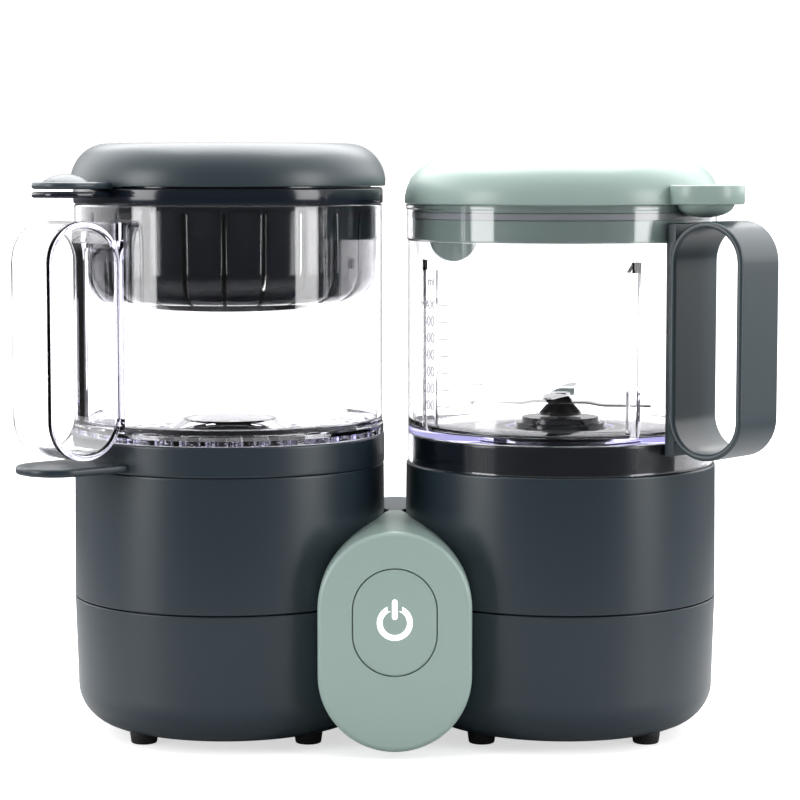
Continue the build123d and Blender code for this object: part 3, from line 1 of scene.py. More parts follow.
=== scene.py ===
"""A countertop baby food maker: a steamer tower and a blender tower on one motor base, joined by a pod.

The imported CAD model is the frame. Sizes below are in millimetres until a mesh is made, and each
section holds one piece or one group of like pieces.
"""

import math

import bmesh
import bpy
import numpy as np
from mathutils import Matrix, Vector
from mathutils.geometry import delaunay_2d_cdt


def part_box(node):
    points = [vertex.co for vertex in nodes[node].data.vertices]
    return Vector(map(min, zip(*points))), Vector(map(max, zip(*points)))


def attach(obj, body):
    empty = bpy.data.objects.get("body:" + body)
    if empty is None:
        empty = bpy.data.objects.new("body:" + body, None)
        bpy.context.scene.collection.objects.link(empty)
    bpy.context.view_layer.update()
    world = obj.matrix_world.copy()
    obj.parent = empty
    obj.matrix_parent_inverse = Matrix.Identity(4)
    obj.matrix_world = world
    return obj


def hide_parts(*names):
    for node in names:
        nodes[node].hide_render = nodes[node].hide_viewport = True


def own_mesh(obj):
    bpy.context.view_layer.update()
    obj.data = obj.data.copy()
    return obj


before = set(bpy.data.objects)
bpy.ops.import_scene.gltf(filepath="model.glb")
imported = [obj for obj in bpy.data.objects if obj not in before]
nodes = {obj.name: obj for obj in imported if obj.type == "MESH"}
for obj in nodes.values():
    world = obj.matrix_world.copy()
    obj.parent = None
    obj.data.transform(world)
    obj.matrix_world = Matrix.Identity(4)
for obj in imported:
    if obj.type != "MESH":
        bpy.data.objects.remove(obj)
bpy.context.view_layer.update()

scene = bpy.context.scene


# ---------------------------------------------------------------- the two housings
# The motor base is two tall cups, each moulded in a lower and an upper half of slate ABS with a fine
# spark-eroded grain. The halves are screwed together from below and leave a fine seam.
metre, mm = 1000.0, 0.001
round_steps = 240


def middle(node):
    """The middle of a part's box in plan, in millimetres."""
    low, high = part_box(node)
    return np.array([low.x + high.x, low.y + high.y]) / 2 * metre


steamer = middle("boiler_dish")
blender = middle("blade_carrier")


def rounded(corners, steps=6, support=0.5):
    """A closed outline through corners (across, up, rounding). A rounded corner is the arc that touches both
    of its sides: its centre lies on the bisector, at rounding / sin(half angle), and the arc turns evenly
    from one touching point to the other. A point on each side close to the arc keeps the flat part flat."""
    corner = np.array(corners, float)
    point, radius = corner[:, :2], corner[:, 2:]
    back = np.roll(point, 1, 0) - point
    ahead = np.roll(point, -1, 0) - point
    back /= np.linalg.norm(back, axis=1, keepdims=True)
    ahead /= np.linalg.norm(ahead, axis=1, keepdims=True)
    half = np.arccos(np.clip((back * ahead).sum(1, keepdims=True), -1, 1)) / 2
    bisector = back + ahead
    bisector /= np.maximum(np.linalg.norm(bisector, axis=1, keepdims=True), 1e-9)
    centre = point + bisector * radius / np.sin(half)
    start = point + back * radius / np.tan(half)
    end = point + ahead * radius / np.tan(half)
    turn = (np.pi - 2 * half)[:, None]
    t = np.linspace(0, 1, steps)[None, :, None]
    arc = np.sin((1 - t) * turn) * (start - centre)[:, None] + np.sin(t * turn) * (end - centre)[:, None]
    arc = centre[:, None] + arc / np.maximum(np.sin(turn), 1e-9)
    near = np.minimum(support, radius)
    lead_in, lead_out = start + back * near, end + ahead * near
    path = np.concatenate([lead_in[:, None], arc, lead_out[:, None]], 1).reshape(-1, 2)
    fresh = np.linalg.norm(path - np.roll(path, 1, 0), axis=1) > 1e-5
    return path[fresh]


def turned(outline, centre, turns=round_steps):
    """An outline of (radius, height) turned about an upright axis: x = radius cos t, y = radius sin t."""
    t = np.linspace(0, 2 * np.pi, turns, endpoint=False)
    radius, height = outline[:, :1], outline[:, 1:]
    return np.stack([centre[0] + radius * np.cos(t), centre[1] + radius * np.sin(t), height + 0 * t], -1)


def woven(grid, rows_close=True, columns_close=True):
    """The points and faces of a grid: each cell joins point i, j to its neighbours at i + 1 and j + 1, and
    a closed direction also joins the last row or column to the first."""
    rows, columns = grid.shape[:2]
    ids = np.arange(rows * columns).reshape(rows, columns)
    if rows_close:
        ids = np.vstack([ids, ids[:1]])
    if columns_close:
        ids = np.hstack([ids, ids[:, :1]])
    cells = np.stack([ids[:-1, :-1], ids[:-1, 1:], ids[1:, 1:], ids[1:, :-1]], -1)
    return grid.reshape(-1, 3), cells.reshape(-1, 4)


def mesh_of(name, *shells):
    """One mesh from closed shells of (points, faces) in millimetres. Points that meet are merged, faces turn
    outwards, and creases of more than 32 degrees stay crisp."""
    first = np.cumsum([0] + [len(points) for points, _ in shells])
    mesh = bpy.data.meshes.new(name)
    points = np.vstack([points for points, _ in shells]) * mm
    faces = [face for (_, cells), n in zip(shells, first) for face in (np.asarray(cells) + n).tolist()]
    mesh.from_pydata(points.tolist(), [], faces)
    work = bmesh.new()
    work.from_mesh(mesh)
    bmesh.ops.remove_doubles(work, verts=work.verts, dist=2e-6)
    bmesh.ops.delete(work, geom=[edge for edge in work.edges if not edge.link_faces], context="EDGES")
    bmesh.ops.recalc_face_normals(work, faces=work.faces)
    work.to_mesh(mesh)
    work.free()
    smooth(mesh)
    return mesh


def smooth(mesh, crease=32):
    """Smooth shading that stays crisp where two faces meet at more than the crease angle."""
    mesh.polygons.foreach_set("use_smooth", [True] * len(mesh.polygons))
    mesh.set_sharp_from_angle(angle=math.radians(crease))


def show(name, shape, material, body, slot, *stands_for):
    """Puts a finished piece in the scene, made from its closed shells or from a mesh that is ready: its
    finish, the body that it moves with, its slot and the parts that it stands for. The slot is not used."""
    mesh = shape if isinstance(shape, bpy.types.Mesh) else mesh_of(name, *shape)
    piece = bpy.data.objects.new(name, mesh)
    scene.collection.objects.link(piece)
    piece.data.materials.clear()
    piece.data.materials.append(material)
    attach(piece, body)
    if stands_for:
        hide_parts(*stands_for)
    return piece


def shader_group(name, inputs):
    """A shader group that gives a colour, a roughness and a normal, with its named inputs and their usual
    values."""
    group = bpy.data.node_groups.new(name, "ShaderNodeTree")
    for socket, kind, value in inputs:
        made = group.interface.new_socket(name=socket, in_out="INPUT", socket_type=f"NodeSocket{kind}")
        made.default_value = value
    for socket, kind in (("Colour", "Color"), ("Roughness", "Float"), ("Normal", "Vector")):
        group.interface.new_socket(name=socket, in_out="OUTPUT", socket_type=f"NodeSocket{kind}")
    return group, group.nodes.new("NodeGroupInput"), group.nodes.new("NodeGroupOutput")


def add(tree, kind, values=(), operation=None):
    """A new shader node, with its operation and the values of its inputs, each by name or by place."""
    node = tree.nodes.new(f"ShaderNode{kind}")
    if operation:
        node.operation = operation
    for socket, value in dict(values).items():
        node.inputs[socket].default_value = value
    return node


def moulded_grain():
    """Moulded plastic: the tone drifts a little over the part, the gloss drifts with it, and a fine
    spark-eroded grain stands as a bump."""
    group, given, out = shader_group(
        "moulded_grain",
        [
            ("Colour", "Color", (0.5, 0.5, 0.5, 1)),
            ("Drift", "Float", 0.06),
            ("Roughness", "Float", 0.4),
            ("Gloss Drift", "Float", 0.05),
            ("Grain Scale", "Float", 1400.0),
            ("Grain Height", "Float", 0.1),
        ],
    )
    place = add(group, "TexCoord")
    cloud = add(group, "TexNoise", {"Scale": 14.0, "Detail": 3.0})
    grain = add(group, "TexNoise", {"Detail": 2.0})
    centred = add(group, "Math", {1: 0.5}, "SUBTRACT")
    swing = add(group, "Math", operation="MULTIPLY")
    tone = add(group, "Math", {1: 1.0}, "ADD")
    tint = add(group, "VectorMath", operation="SCALE")
    wide = add(group, "Math", operation="MULTIPLY")
    gloss = add(group, "Math", operation="ADD")
    gloss.use_clamp = True
    bump = add(group, "Bump", {"Distance": 0.0001})
    link = group.links.new
    link(place.outputs["Object"], cloud.inputs["Vector"])
    link(place.outputs["Object"], grain.inputs["Vector"])
    link(given.outputs["Grain Scale"], grain.inputs["Scale"])
    link(cloud.outputs["Fac"], centred.inputs[0])
    link(centred.outputs[0], swing.inputs[0])
    link(given.outputs["Drift"], swing.inputs[1])
    link(swing.outputs[0], tone.inputs[0])
    link(given.outputs["Colour"], tint.inputs[0])
    link(tone.outputs[0], tint.inputs["Scale"])
    link(centred.outputs[0], wide.inputs[0])
    link(given.outputs["Gloss Drift"], wide.inputs[1])
    link(wide.outputs[0], gloss.inputs[0])
    link(given.outputs["Roughness"], gloss.inputs[1])
    link(given.outputs["Grain Height"], bump.inputs["Strength"])
    link(grain.outputs["Fac"], bump.inputs["Height"])
    link(tint.outputs[0], out.inputs["Colour"])
    link(gloss.outputs[0], out.inputs["Roughness"])
    link(bump.outputs[0], out.inputs["Normal"])
    return group


grain_group = moulded_grain()


def skinned(name, group, group_values, skin_values):
    """A material whose colour, roughness and normal come from a shared group, placed with values of its
    own; the skin's even values are set on the skin itself."""
    material = bpy.data.materials.new(name)
    material.use_nodes = True
    tree = material.node_tree
    skin = tree.nodes["Principled BSDF"]
    for socket, value in skin_values.items():
        skin.inputs[socket].default_value = value
    placed = tree.nodes.new("ShaderNodeGroup")
    placed.node_tree = group
    for socket, value in group_values.items():
        placed.inputs[socket].default_value = value
    for output, socket in (("Colour", "Base Color"), ("Roughness", "Roughness"), ("Normal", "Normal")):
        tree.links.new(placed.outputs[output], skin.inputs[socket])
    return material


def plastic(name, colour, roughness, drift=0.06, gloss_drift=0.06, grain=(1400, 0.10), specular=0.5):
    """A moulded plastic: the shared grain drives its colour, roughness and bump."""
    scale, height = grain
    values = {
        "Colour": (*colour, 1),
        "Drift": drift,
        "Roughness": roughness,
        "Gloss Drift": gloss_drift,
        "Grain Scale": scale,
        "Grain Height": height,
    }
    return skinned(name, grain_group, values, {"Specular IOR Level": specular})


slate_base = plastic("slate_base", (0.016, 0.029, 0.040), 0.34, specular=0.55)

seam_low, seam_high = 61.2, 61.8
deck, deck_under = 120.3, 116.3


def loop_of(points):
    """The edges of a closed loop, as pairs of neighbouring places."""
    ids = np.arange(len(points))
    return np.stack([ids, np.roll(ids, -1)], 1)


def at_height(plan, height):
    """Plan points raised to a height, one for all or one each."""
    return np.column_stack([plan, np.broadcast_to(height, len(plan))])


def pierced(bounds, holes, bottom, top):
    """A flat plate between its bounding loops, cut through by holes. A triangle of the plan stays where a ray
    from its middle crosses the loops an odd number of times; the walls of the holes close the plate."""
    loops = [*bounds, *holes]
    first = np.cumsum([0] + [len(points) for points in loops])
    plan = np.vstack(loops)
    edges = np.vstack([loop_of(points) + n for points, n in zip(loops, first)])
    found = delaunay_2d_cdt([Vector(p) for p in plan], edges.tolist(), [], 0, 1e-6)
    flat = np.array([tuple(v) for v in found[0]])
    cells = np.array(found[2])
    centre = flat[cells].mean(1)
    a, b = plan[edges[:, 0]], plan[edges[:, 1]]
    above = (a[None, :, 1] > centre[:, None, 1]) != (b[None, :, 1] > centre[:, None, 1])
    rise = np.where(np.abs(b[:, 1] - a[:, 1]) < 1e-12, 1e-12, b[:, 1] - a[:, 1])
    cross = a[:, 0] + (centre[:, None, 1] - a[:, 1]) * (b[:, 0] - a[:, 0]) / rise
    inside = (above & (centre[:, None, 0] < cross)).sum(1) % 2 == 1
    cells = cells[inside]
    shells = [(at_height(flat, bottom), cells), (at_height(flat, top), cells[:, ::-1])]
    for points in holes:
        wall = np.stack([at_height(points, bottom), at_height(points, top)])
        shells.append(woven(wall, rows_close=False))
    return shells


def ring_points(centre, radius, count=round_steps):
    """Points round a circle in plan."""
    t = np.linspace(0, 2 * np.pi, count, endpoint=False)
    return np.stack([centre[0] + radius * np.cos(t), centre[1] + radius * np.sin(t)], 1)


def slots_round(centre, radius, count, length, width, across=False):
    """Round-ended slots spaced evenly round a circle, lengthways along the radius or across it."""
    t = np.linspace(0, 2 * np.pi, 16, endpoint=False)
    end = np.where(np.cos(t) > 0, 1, -1) * (length - width) / 2
    shape = np.stack([end + np.cos(t) * width / 2, np.sin(t) * width / 2], 1)
    if across:
        shape = shape[:, ::-1]
    angle = 2 * np.pi * np.arange(count) / count
    x = radius + shape[None, :, 0]
    y = shape[None, :, 1]
    c, s = np.cos(angle)[:, None], np.sin(angle)[:, None]
    return list(np.stack([centre[0] + x * c - y * s, centre[1] + x * s + y * c], -1))


shell_under, shell_floor = 4.0, 6.5
shell_radius, wall_inside = 69.5, 65.9
bottom_radius, bottom_round = 68.4, 18.0
draft_from = 24.0
floor_edge = 44.0
lower_section = rounded(
    [
        (floor_edge, shell_under, 0),
        (bottom_radius, shell_under, bottom_round),
        (bottom_radius + 0.05, draft_from, 0),
        (shell_radius, seam_low, 0.45),
        (67.0, seam_low, 0),
        (wall_inside, draft_from, 0),
        (wall_inside, shell_floor, bottom_round - 2.5),
        (floor_edge, shell_floor, 0),
    ],
    steps=14,
)
vent_ring, vent_length, vent_width = 27.0, 13.0, 2.4
lower_shells = []
for centre, vents in ((steamer, 0), (blender, 12)):
    lower_shells.append(woven(turned(lower_section, centre), rows_close=False))
    rim = [ring_points(centre, floor_edge)]
    holes = slots_round(centre, vent_ring, vents, vent_length, vent_width) if vents else []
    lower_shells += pierced(rim, holes, shell_under, shell_floor)
show("lower_housing_shells", lower_shells, slate_base, "base", "slate_base", "lower_housing")


def upper_section(opening):
    """The upper half's wall and deck, with a lip that reaches down inside the lower half. The corners of
    the deck's opening differ between the two towers."""
    lip_low, lip_high = 58.0, 68.2
    return rounded(
        [
            (shell_radius, seam_high, 0.45),
            (69.0, deck, 0.7),
            *opening,
            (66.5, deck_under, 0),
            (67.0, 72.0, 0),
            (64.7, lip_high, 0),
            (64.7, lip_low, 0),
            (66.7, lip_low, 0),
            (66.7, seam_high, 0),
        ]
    )


ledge = 118.1
boiler_hole = [(48.3, deck, 0), (48.3, ledge, 0), (43.0, ledge, 0), (43.0, deck_under, 0)]
collar_top = 122.1
shaft_hole = [(10.4, deck, 0), (10.0, collar_top, 0.4), (8.0, collar_top, 0.4), (8.0, deck_under, 0)]
upper_shells = [
    woven(turned(upper_section(boiler_hole), steamer)),
    woven(turned(upper_section(shaft_hole), blender)),
]
show("upper_housing_shells", upper_shells, slate_base, "base", "slate_base", "upper_housing")

# ---------------------------------------------------------------- feet
# Eight black rubber feet, plugged into the screw wells under both towers. Each is slightly tapered, with
# a rounded tread and a shallow dish in the middle.
black_rubber = plastic("black_rubber", (0.012, 0.012, 0.013), 0.62, grain=(900, 0.25), specular=0.35)
foot_top, foot_spread = 8.0, 36.0
foot_section = rounded(
    [
        (0, 0.4, 0),
        (3.4, 0.4, 0.3),
        (3.9, 0.0, 0.3),
        (5.6, 0.0, 0.8),
        (6.2, 4.2, 0.3),
        (5.9, foot_top, 0),
        (0, foot_top, 0),
    ]
)
foot_shells = [
    woven(turned(foot_section, centre + np.array([dx, dy]), turns=48))
    for centre in (steamer, blender)
    for dx in (-foot_spread, foot_spread)
    for dy in (-foot_spread, foot_spread)
]
show("feet", foot_shells, black_rubber, "base", "black_rubber", "rubber_feet")

# ---------------------------------------------------------------- pod: fascia and rear cover
# The pill-shaped pod stands between the towers. Its front is mint ABS and its back is slate; both are
# shells whose sides run back until they meet the round towers.
mint = plastic("mint", (0.36, 0.47, 0.435), 0.30, drift=0.04, grain=(1800, 0.05))
axis_y = steamer[1]
tower_x = blender[0]
cap_angle = np.linspace(0, np.pi, 41)
side = np.linspace(1, -1, 26)[1:-1]
pill_angle = np.concatenate([cap_angle, np.full(24, np.pi), cap_angle + np.pi, np.full(24, 2 * np.pi)])
pill_shift = np.concatenate([np.ones(41), side, -np.ones(41), -side])
pod_half, pod_low, pod_high = 32.8, 3.2, 98.0
pod_front, pod_rear, pod_wall = 71.0, -50.0, 2.5


def pill(half_width, low, high):
    """Points round an upright pill outline: half circles of the half width above and below straight sides."""
    straight = (high - low) / 2 - half_width
    x = half_width * np.cos(pill_angle)
    z = (low + high) / 2 + straight * pill_shift + half_width * np.sin(pill_angle)
    return np.stack([x, z], 1)


def tower_reach(x, z, gap=0.15):
    """How far ahead of the tower axes a tower's skin stands at x: the chord of its round section, whose
    radius follows the wall's draft and the rounding at the bottom; 0 between the towers."""
    round_top = shell_under + bottom_round
    wall = np.interp(z, [round_top, 61.5, deck], [bottom_radius, shell_radius, 69.0])
    drop = np.clip(round_top - z, 0, bottom_round)
    rounding = bottom_radius - bottom_round + np.sqrt(np.maximum(bottom_round**2 - drop**2, 0))
    wall = np.where(z < round_top, rounding, wall) + gap
    return np.sqrt(np.maximum(wall**2 - (tower_x - np.abs(x)) ** 2, 0))


def pod_rows(rows, edge_rows):
    """Pill outlines set one behind the other: each row is (half width, low, high, distance ahead). A row
    with no distance ends at the tower's skin, on the side that edge_rows gives."""
    grid = []
    for half_width, low, high, ahead in rows:
        line = pill(half_width, low, high)
        if ahead is None:
            reach = tower_reach(line[:, 0], line[:, 1])
            ahead = edge_rows * np.maximum(reach, 0.2)
        grid.append(np.stack([line[:, 0], axis_y - ahead + 0 * line[:, 0], line[:, 1]], 1))
    return np.stack(grid)


def pod_inset(inset, ahead):
    """A row of the pod's own outline, drawn in by an inset."""
    return (pod_half - inset, pod_low + inset, pod_high - inset, ahead)


opening_half, opening_low, opening_high = 18.2, 35.95, 82.45


def opening_row(grow, ahead):
    """A row of the button opening's outline, grown by a little."""
    return (opening_half + grow, opening_low - grow, opening_high + grow, ahead)


bevel_size, bevel_end = 2.4, 3.2
bevel = [
    (bevel_size * (1 - math.sin(turn)), pod_front - bevel_size * (1 - math.cos(turn)))
    for turn in (k * math.pi / 16 for k in range(9))
]
fascia_rows = [
    opening_row(0, pod_front - pod_wall),
    opening_row(0, pod_front - 0.35),
    opening_row(0.1, pod_front - 0.1),
    opening_row(0.35, pod_front),
    opening_row(1.2, pod_front),
    pod_inset(bevel_end, pod_front),
    *[pod_inset(inset, ahead) for inset, ahead in bevel],
    pod_inset(0, pod_front - bevel_end),
    pod_inset(0, None),
    pod_inset(pod_wall, None),
    pod_inset(pod_wall, pod_front - pod_wall),
]
fascia = woven(pod_rows(fascia_rows, 1))
show("control_fascia_shell", [fascia], mint, "base", "mint", "control_fascia")

pod_middle = (0, (pod_low + pod_half), (pod_high - pod_half))
rear_rows = [
    (*pod_middle, pod_rear),
    pod_inset(20, pod_rear),
    pod_inset(bevel_end, pod_rear),
    *[pod_inset(inset, pod_rear + (pod_front - ahead)) for inset, ahead in bevel],
    pod_inset(0, pod_rear + bevel_end),
    pod_inset(0, None),
    pod_inset(pod_wall, None),
    pod_inset(pod_wall, pod_rear + pod_wall),
    (*pod_middle, pod_rear + pod_wall),
]
rear_cover = woven(pod_rows(rear_rows, -1), rows_close=False)
show("rear_cover_shell", [rear_cover], slate_base, "base", "slate_base", "rear_cover")


# ---------------------------------------------------------------- button
# One large oval push button, crowned a hair, in the same mint ABS. Behind its face runs a flange that
# stops it from falling out.
def button_row(half_width, behind, low_middle=54.15, high_middle=64.25):
    """A row of the button's outline: half circles of the half width about the two ends of its middle line,
    some way behind the pod's face."""
    return (half_width, low_middle - half_width, high_middle + half_width, pod_front - behind)


button_half, flange_half = 17.75, 19.4
flange_line = (54.2, 64.2)
button_rows = [
    button_row(0, -0.05),
    button_row(9.0, -0.04),
    button_row(16.4, 0),
    button_row(17.2, 0.06),
    button_row(17.6, 0.25),
    button_row(button_half, 0.6),
    button_row(button_half, 2.8),
    button_row(flange_half, 2.8, *flange_line),
    button_row(flange_half, 4.2, *flange_line),
    button_row(0, 4.2, *flange_line),
]
button = woven(pod_rows(button_rows, 1), rows_close=False)
show("push_button", [button], mint, "button", "mint", "button_cap")

# The mark on the button is a milky diffuser that a lamp lights from behind: a plain power symbol.
lit_diffuser = bpy.data.materials.new("lit_diffuser")
lit_diffuser.use_nodes = True
milk = lit_diffuser.node_tree
glow = milk.nodes["Principled BSDF"]
glow.inputs["Roughness"].default_value = 0.35
glow.inputs["Emission Strength"].default_value = 0.9
milk_cloud = add(milk, "TexNoise", {"Scale": 90.0})
milk_tone = add(milk, "ValToRGB")
milk_tone.color_ramp.elements[0].color = (0.90, 0.93, 0.92, 1)
milk_tone.color_ramp.elements[1].color = (1.0, 1.0, 1.0, 1)
milk.links.new(add(milk, "TexCoord").outputs["Object"], milk_cloud.inputs["Vector"])
milk.links.new(milk_cloud.outputs["Fac"], milk_tone.inputs["Fac"])
milk.links.new(milk_tone.outputs["Color"], glow.inputs["Base Color"])
milk.links.new(milk_tone.outputs["Color"], glow.inputs["Emission Color"])


def refinish(material, *names):
    """Gives shown CAD parts a finish of their own."""
    for name in names:
        part = nodes[name]
        part.data.materials.clear()
        part.data.materials.append(material)


refinish(lit_diffuser, "button_emblem", "indicator_lamp")

# ---------------------------------------------------------------- drip tray
# A slate ring with a trough that catches drips between the boiler and the bowl. A flat tab on its left
# lifts it out.
left_turn = math.radians(220.0)
right_turn = math.radians(-40.0)


def outwards(centre, turn, plan):
    """Plan points given as (outwards, sideways) of a tower, turned to its handle's direction."""
    out, side = plan[:, 0], plan[:, 1]
    c, s = math.cos(turn), math.sin(turn)
    return np.stack([centre[0] + out * c - side * s, centre[1] + out * s + side * c], 1)


def slab(outline, bottom, top, edge):
    """A plate of a closed plan outline with quarter-round edges. Rows run from the middle of the top, out to
    the edge, round it and back underneath; near the edge a row moves in along the outline's own normal."""
    ahead = np.roll(outline, -1, 0) - np.roll(outline, 1, 0)
    inward = np.stack([-ahead[:, 1], ahead[:, 0]], 1) / np.linalg.norm(ahead, axis=1, keepdims=True)
    centre = outline.mean(0)
    if (inward * (centre - outline)).sum() < 0:
        inward = -inward
    arc = np.linspace(0, np.pi / 2, 6)
    insets = np.concatenate([edge * (1 - np.sin(arc)), edge * (1 - np.sin(arc[::-1]))])
    levels = np.concatenate([top - edge * (1 - np.cos(arc)), bottom + edge * (1 - np.cos(arc[::-1]))])
    rows = [at_height(outline + inward * inset, level) for inset, level in zip(insets, levels)]
    inner = outline + inward * (edge + 0.5)
    shrunk = [centre + (inner - centre) * share for share in (0.0, 0.3, 0.6, 0.85, 1.0)]
    over = [at_height(plan, top) for plan in shrunk]
    under = [at_height(plan, bottom) for plan in shrunk[::-1]]
    return woven(np.stack([*over, *rows, *under]), rows_close=False)


tray_low, tray_floor, trough_rim, tray_rim = 120.5, 122.7, 130.8, 133.3
tray_section = rounded(
    [
        (44.6, tray_low, 0),
        (69.2, tray_low, 0.5),
        (69.2, tray_rim, 0.7),
        (67.0, tray_rim, 0.3),
        (67.0, tray_floor, 0.8),
        (46.6, tray_floor, 0.8),
        (46.6, trough_rim, 0.6),
        (44.6, trough_rim, 0.6),
    ]
)
tab_half, tab_out = 17.6, 108.0
tray_tab_plan = rounded(
    [(60.0, -tab_half, 0), (tab_out, -tab_half, 16.0), (tab_out, tab_half, 16.0), (60.0, tab_half, 0)],
    steps=14,
)
tray_tab = slab(outwards(steamer, left_turn, tray_tab_plan), 121.4, 125.0, 1.3)
tray = [woven(turned(tray_section, steamer)), tray_tab]
show("drip_tray_ring", tray, slate_base, "tray", "slate_base", "drip_tray")

# ---------------------------------------------------------------- steam bowl
# A clear Tritan-type bowl with its loop handle moulded on. Its raised floor is pierced with rings of
# slots and holes that let the steam up.
clear_plastic = bpy.data.materials.new("clear_plastic")
clear_plastic.use_nodes = True
clear_tree = clear_plastic.node_tree
clear = clear_tree.nodes["Principled BSDF"]
clear.inputs["Base Color"].default_value = (1, 1, 1, 1)
clear.inputs["Transmission Weight"].default_value = 1.0
clear.inputs["IOR"].default_value = 1.49
clear_haze = add(clear_tree, "TexNoise", {"Scale": 30.0})
clear_range = add(clear_tree, "MapRange", {"To Min": 0.0, "To Max": 0.03})
clear_body = add(clear_tree, "VolumeAbsorption", {"Color": (0.66, 0.64, 0.94, 1), "Density": 17.0})
clear_tree.links.new(add(clear_tree, "TexCoord").outputs["Object"], clear_haze.inputs["Vector"])
clear_tree.links.new(clear_haze.outputs["Fac"], clear_range.inputs["Value"])
clear_tree.links.new(clear_range.outputs["Result"], clear.inputs["Roughness"])
clear_tree.links.new(clear_body.outputs["Volume"], clear_tree.nodes["Material Output"].inputs["Volume"])

seat, reach = 69.0, 104.0
strap_low, strap_high = 127.5, 228.6
strap_half, strap_edge, root_half, grip_narrows = 1.4, 9.0, 16.75, 2.1


def strap_loop(centre, turn):
    """A strap carried round an upright pill in the radial plane: the path is the pill's middle line, and the
    section is a rounded rectangle across it that narrows from the wall to the grip."""
    half = (reach - seat) / 2
    mid = (seat + reach) / 2
    straight = (strap_high - strap_low) / 2 - half
    level = (strap_low + strap_high) / 2
    arc = np.linspace(0, np.pi, 33)
    run = np.linspace(1, -1, 18)[1:-1]
    angle = np.concatenate([arc, np.full(16, np.pi), arc + np.pi, np.full(16, 2 * np.pi)])
    shift = np.concatenate([np.ones(33), run, -np.ones(33), -run])
    corners = [(-1, -1), (1, -1), (1, 1), (-1, 1)]
    section = rounded([(strap_half * x, strap_edge * y, 1.15) for x, y in corners], steps=6)
    radius = half - strap_half + section[None, :, 0]
    out = mid + radius * np.cos(angle)[:, None]
    up = level + straight * shift[:, None] + radius * np.sin(angle)[:, None]
    half_width = root_half - grip_narrows * (out - seat) / (reach - seat)
    across = section[None, :, 1] + np.sign(section[None, :, 1]) * (half_width - strap_edge)
    c, s = math.cos(turn), math.sin(turn)
    grid = np.stack([centre[0] + out * c - across * s, centre[1] + out * s + across * c, up], -1)
    return woven(grid)


def moulded_as_one(name, body, *additions):
    """Joins closed meshes into one skin, as one moulding."""
    whole = bpy.data.objects.new(name, body)
    scene.collection.objects.link(whole)
    tools = [bpy.data.objects.new(f"{name}_{k}", mesh) for k, mesh in enumerate(additions)]
    for tool in tools:
        scene.collection.objects.link(tool)
        join = whole.modifiers.new("join", "BOOLEAN")
        join.operation = "UNION"
        join.solver = "EXACT"
        join.object = tool
    graph = bpy.context.evaluated_depsgraph_get()
    mesh = bpy.data.meshes.new_from_object(whole.evaluated_get(graph))
    for done in (whole, *tools):
        bpy.data.objects.remove(done)
    smooth(mesh)
    mesh.name = name
    return mesh


bowl_under, bowl_floor_top, bowl_rim = 133.5, 135.5, 235.2
bowl_outer, bowl_inner = 68.2, 65.9
floor_rim, boss_rim = 62.0, 27.0
bowl_section = rounded(
    [
        (floor_rim, bowl_under, 0),
        (68.9, bowl_under, 0.5),
        (68.9, 137.9, 0.4),
        (bowl_outer, 138.5, 0.3),
        (bowl_outer, bowl_rim, 0.6),
        (bowl_inner, bowl_rim, 0.6),
        (bowl_inner, 140.4, 1.2),
        (63.4, 138.2, 0.5),
        (floor_rim, bowl_floor_top, 0),
    ]
)
boss_outline = rounded([(0, 139.8, 0), (20.5, 139.8, 1.2), (boss_rim, bowl_floor_top, 0), (0, 135.4, 0)])
boss_over = boss_outline[boss_outline[:, 1] > bowl_floor_top - 0.05]
boss_under = np.array([(boss_rim, bowl_under), (26.0, bowl_under), (19.5, 137.8), (0, 137.8)])
floor_holes = [
    *slots_round(steamer, 57.5, 32, 6.4, 3.0, across=True),
    *slots_round(steamer, 30.7, 16, 6.4, 2.6, across=True),
    *slots_round(steamer, 50.0, 30, 2.3, 2.25),
    *slots_round(steamer, 43.0, 26, 2.3, 2.25),
    *slots_round(steamer, 36.0, 22, 2.3, 2.25),
]
floor_bounds = [ring_points(steamer, floor_rim), ring_points(steamer, boss_rim)]
bowl_skin = mesh_of(
    "steam_bowl_skin",
    woven(turned(bowl_section, steamer), rows_close=False),
    *pierced(floor_bounds, floor_holes, bowl_under, bowl_floor_top),
    woven(turned(boss_over, steamer), rows_close=False),
    woven(turned(boss_under, steamer), rows_close=False),
)
bowl_loop = mesh_of("bowl_loop", strap_loop(steamer, left_turn))
root_plan = np.array([(66.2, -15.3), (71.3, -15.3), (71.3, 15.3), (66.2, 15.3)])
bowl_root = mesh_of("bowl_root", slab(outwards(steamer, left_turn, root_plan), 139.5, 227.8, 0.5))
bowl_mesh = moulded_as_one("clear_steam_bowl", bowl_skin, bowl_loop, bowl_root)
show("clear_steam_bowl", bowl_mesh, clear_plastic, "bowl", "clear_plastic", "steam_bowl")

# ---------------------------------------------------------------- small basket
# A glossy navy basket that hangs inside the bowl by its rim. Twenty-four bars with thin slots between
# them curve in under it to a dished floor.
navy = (0.009, 0.013, 0.022)
dark_gloss = plastic("dark_gloss", navy, 0.12, drift=0.10, gloss_drift=0.05, grain=(500, 0.02))


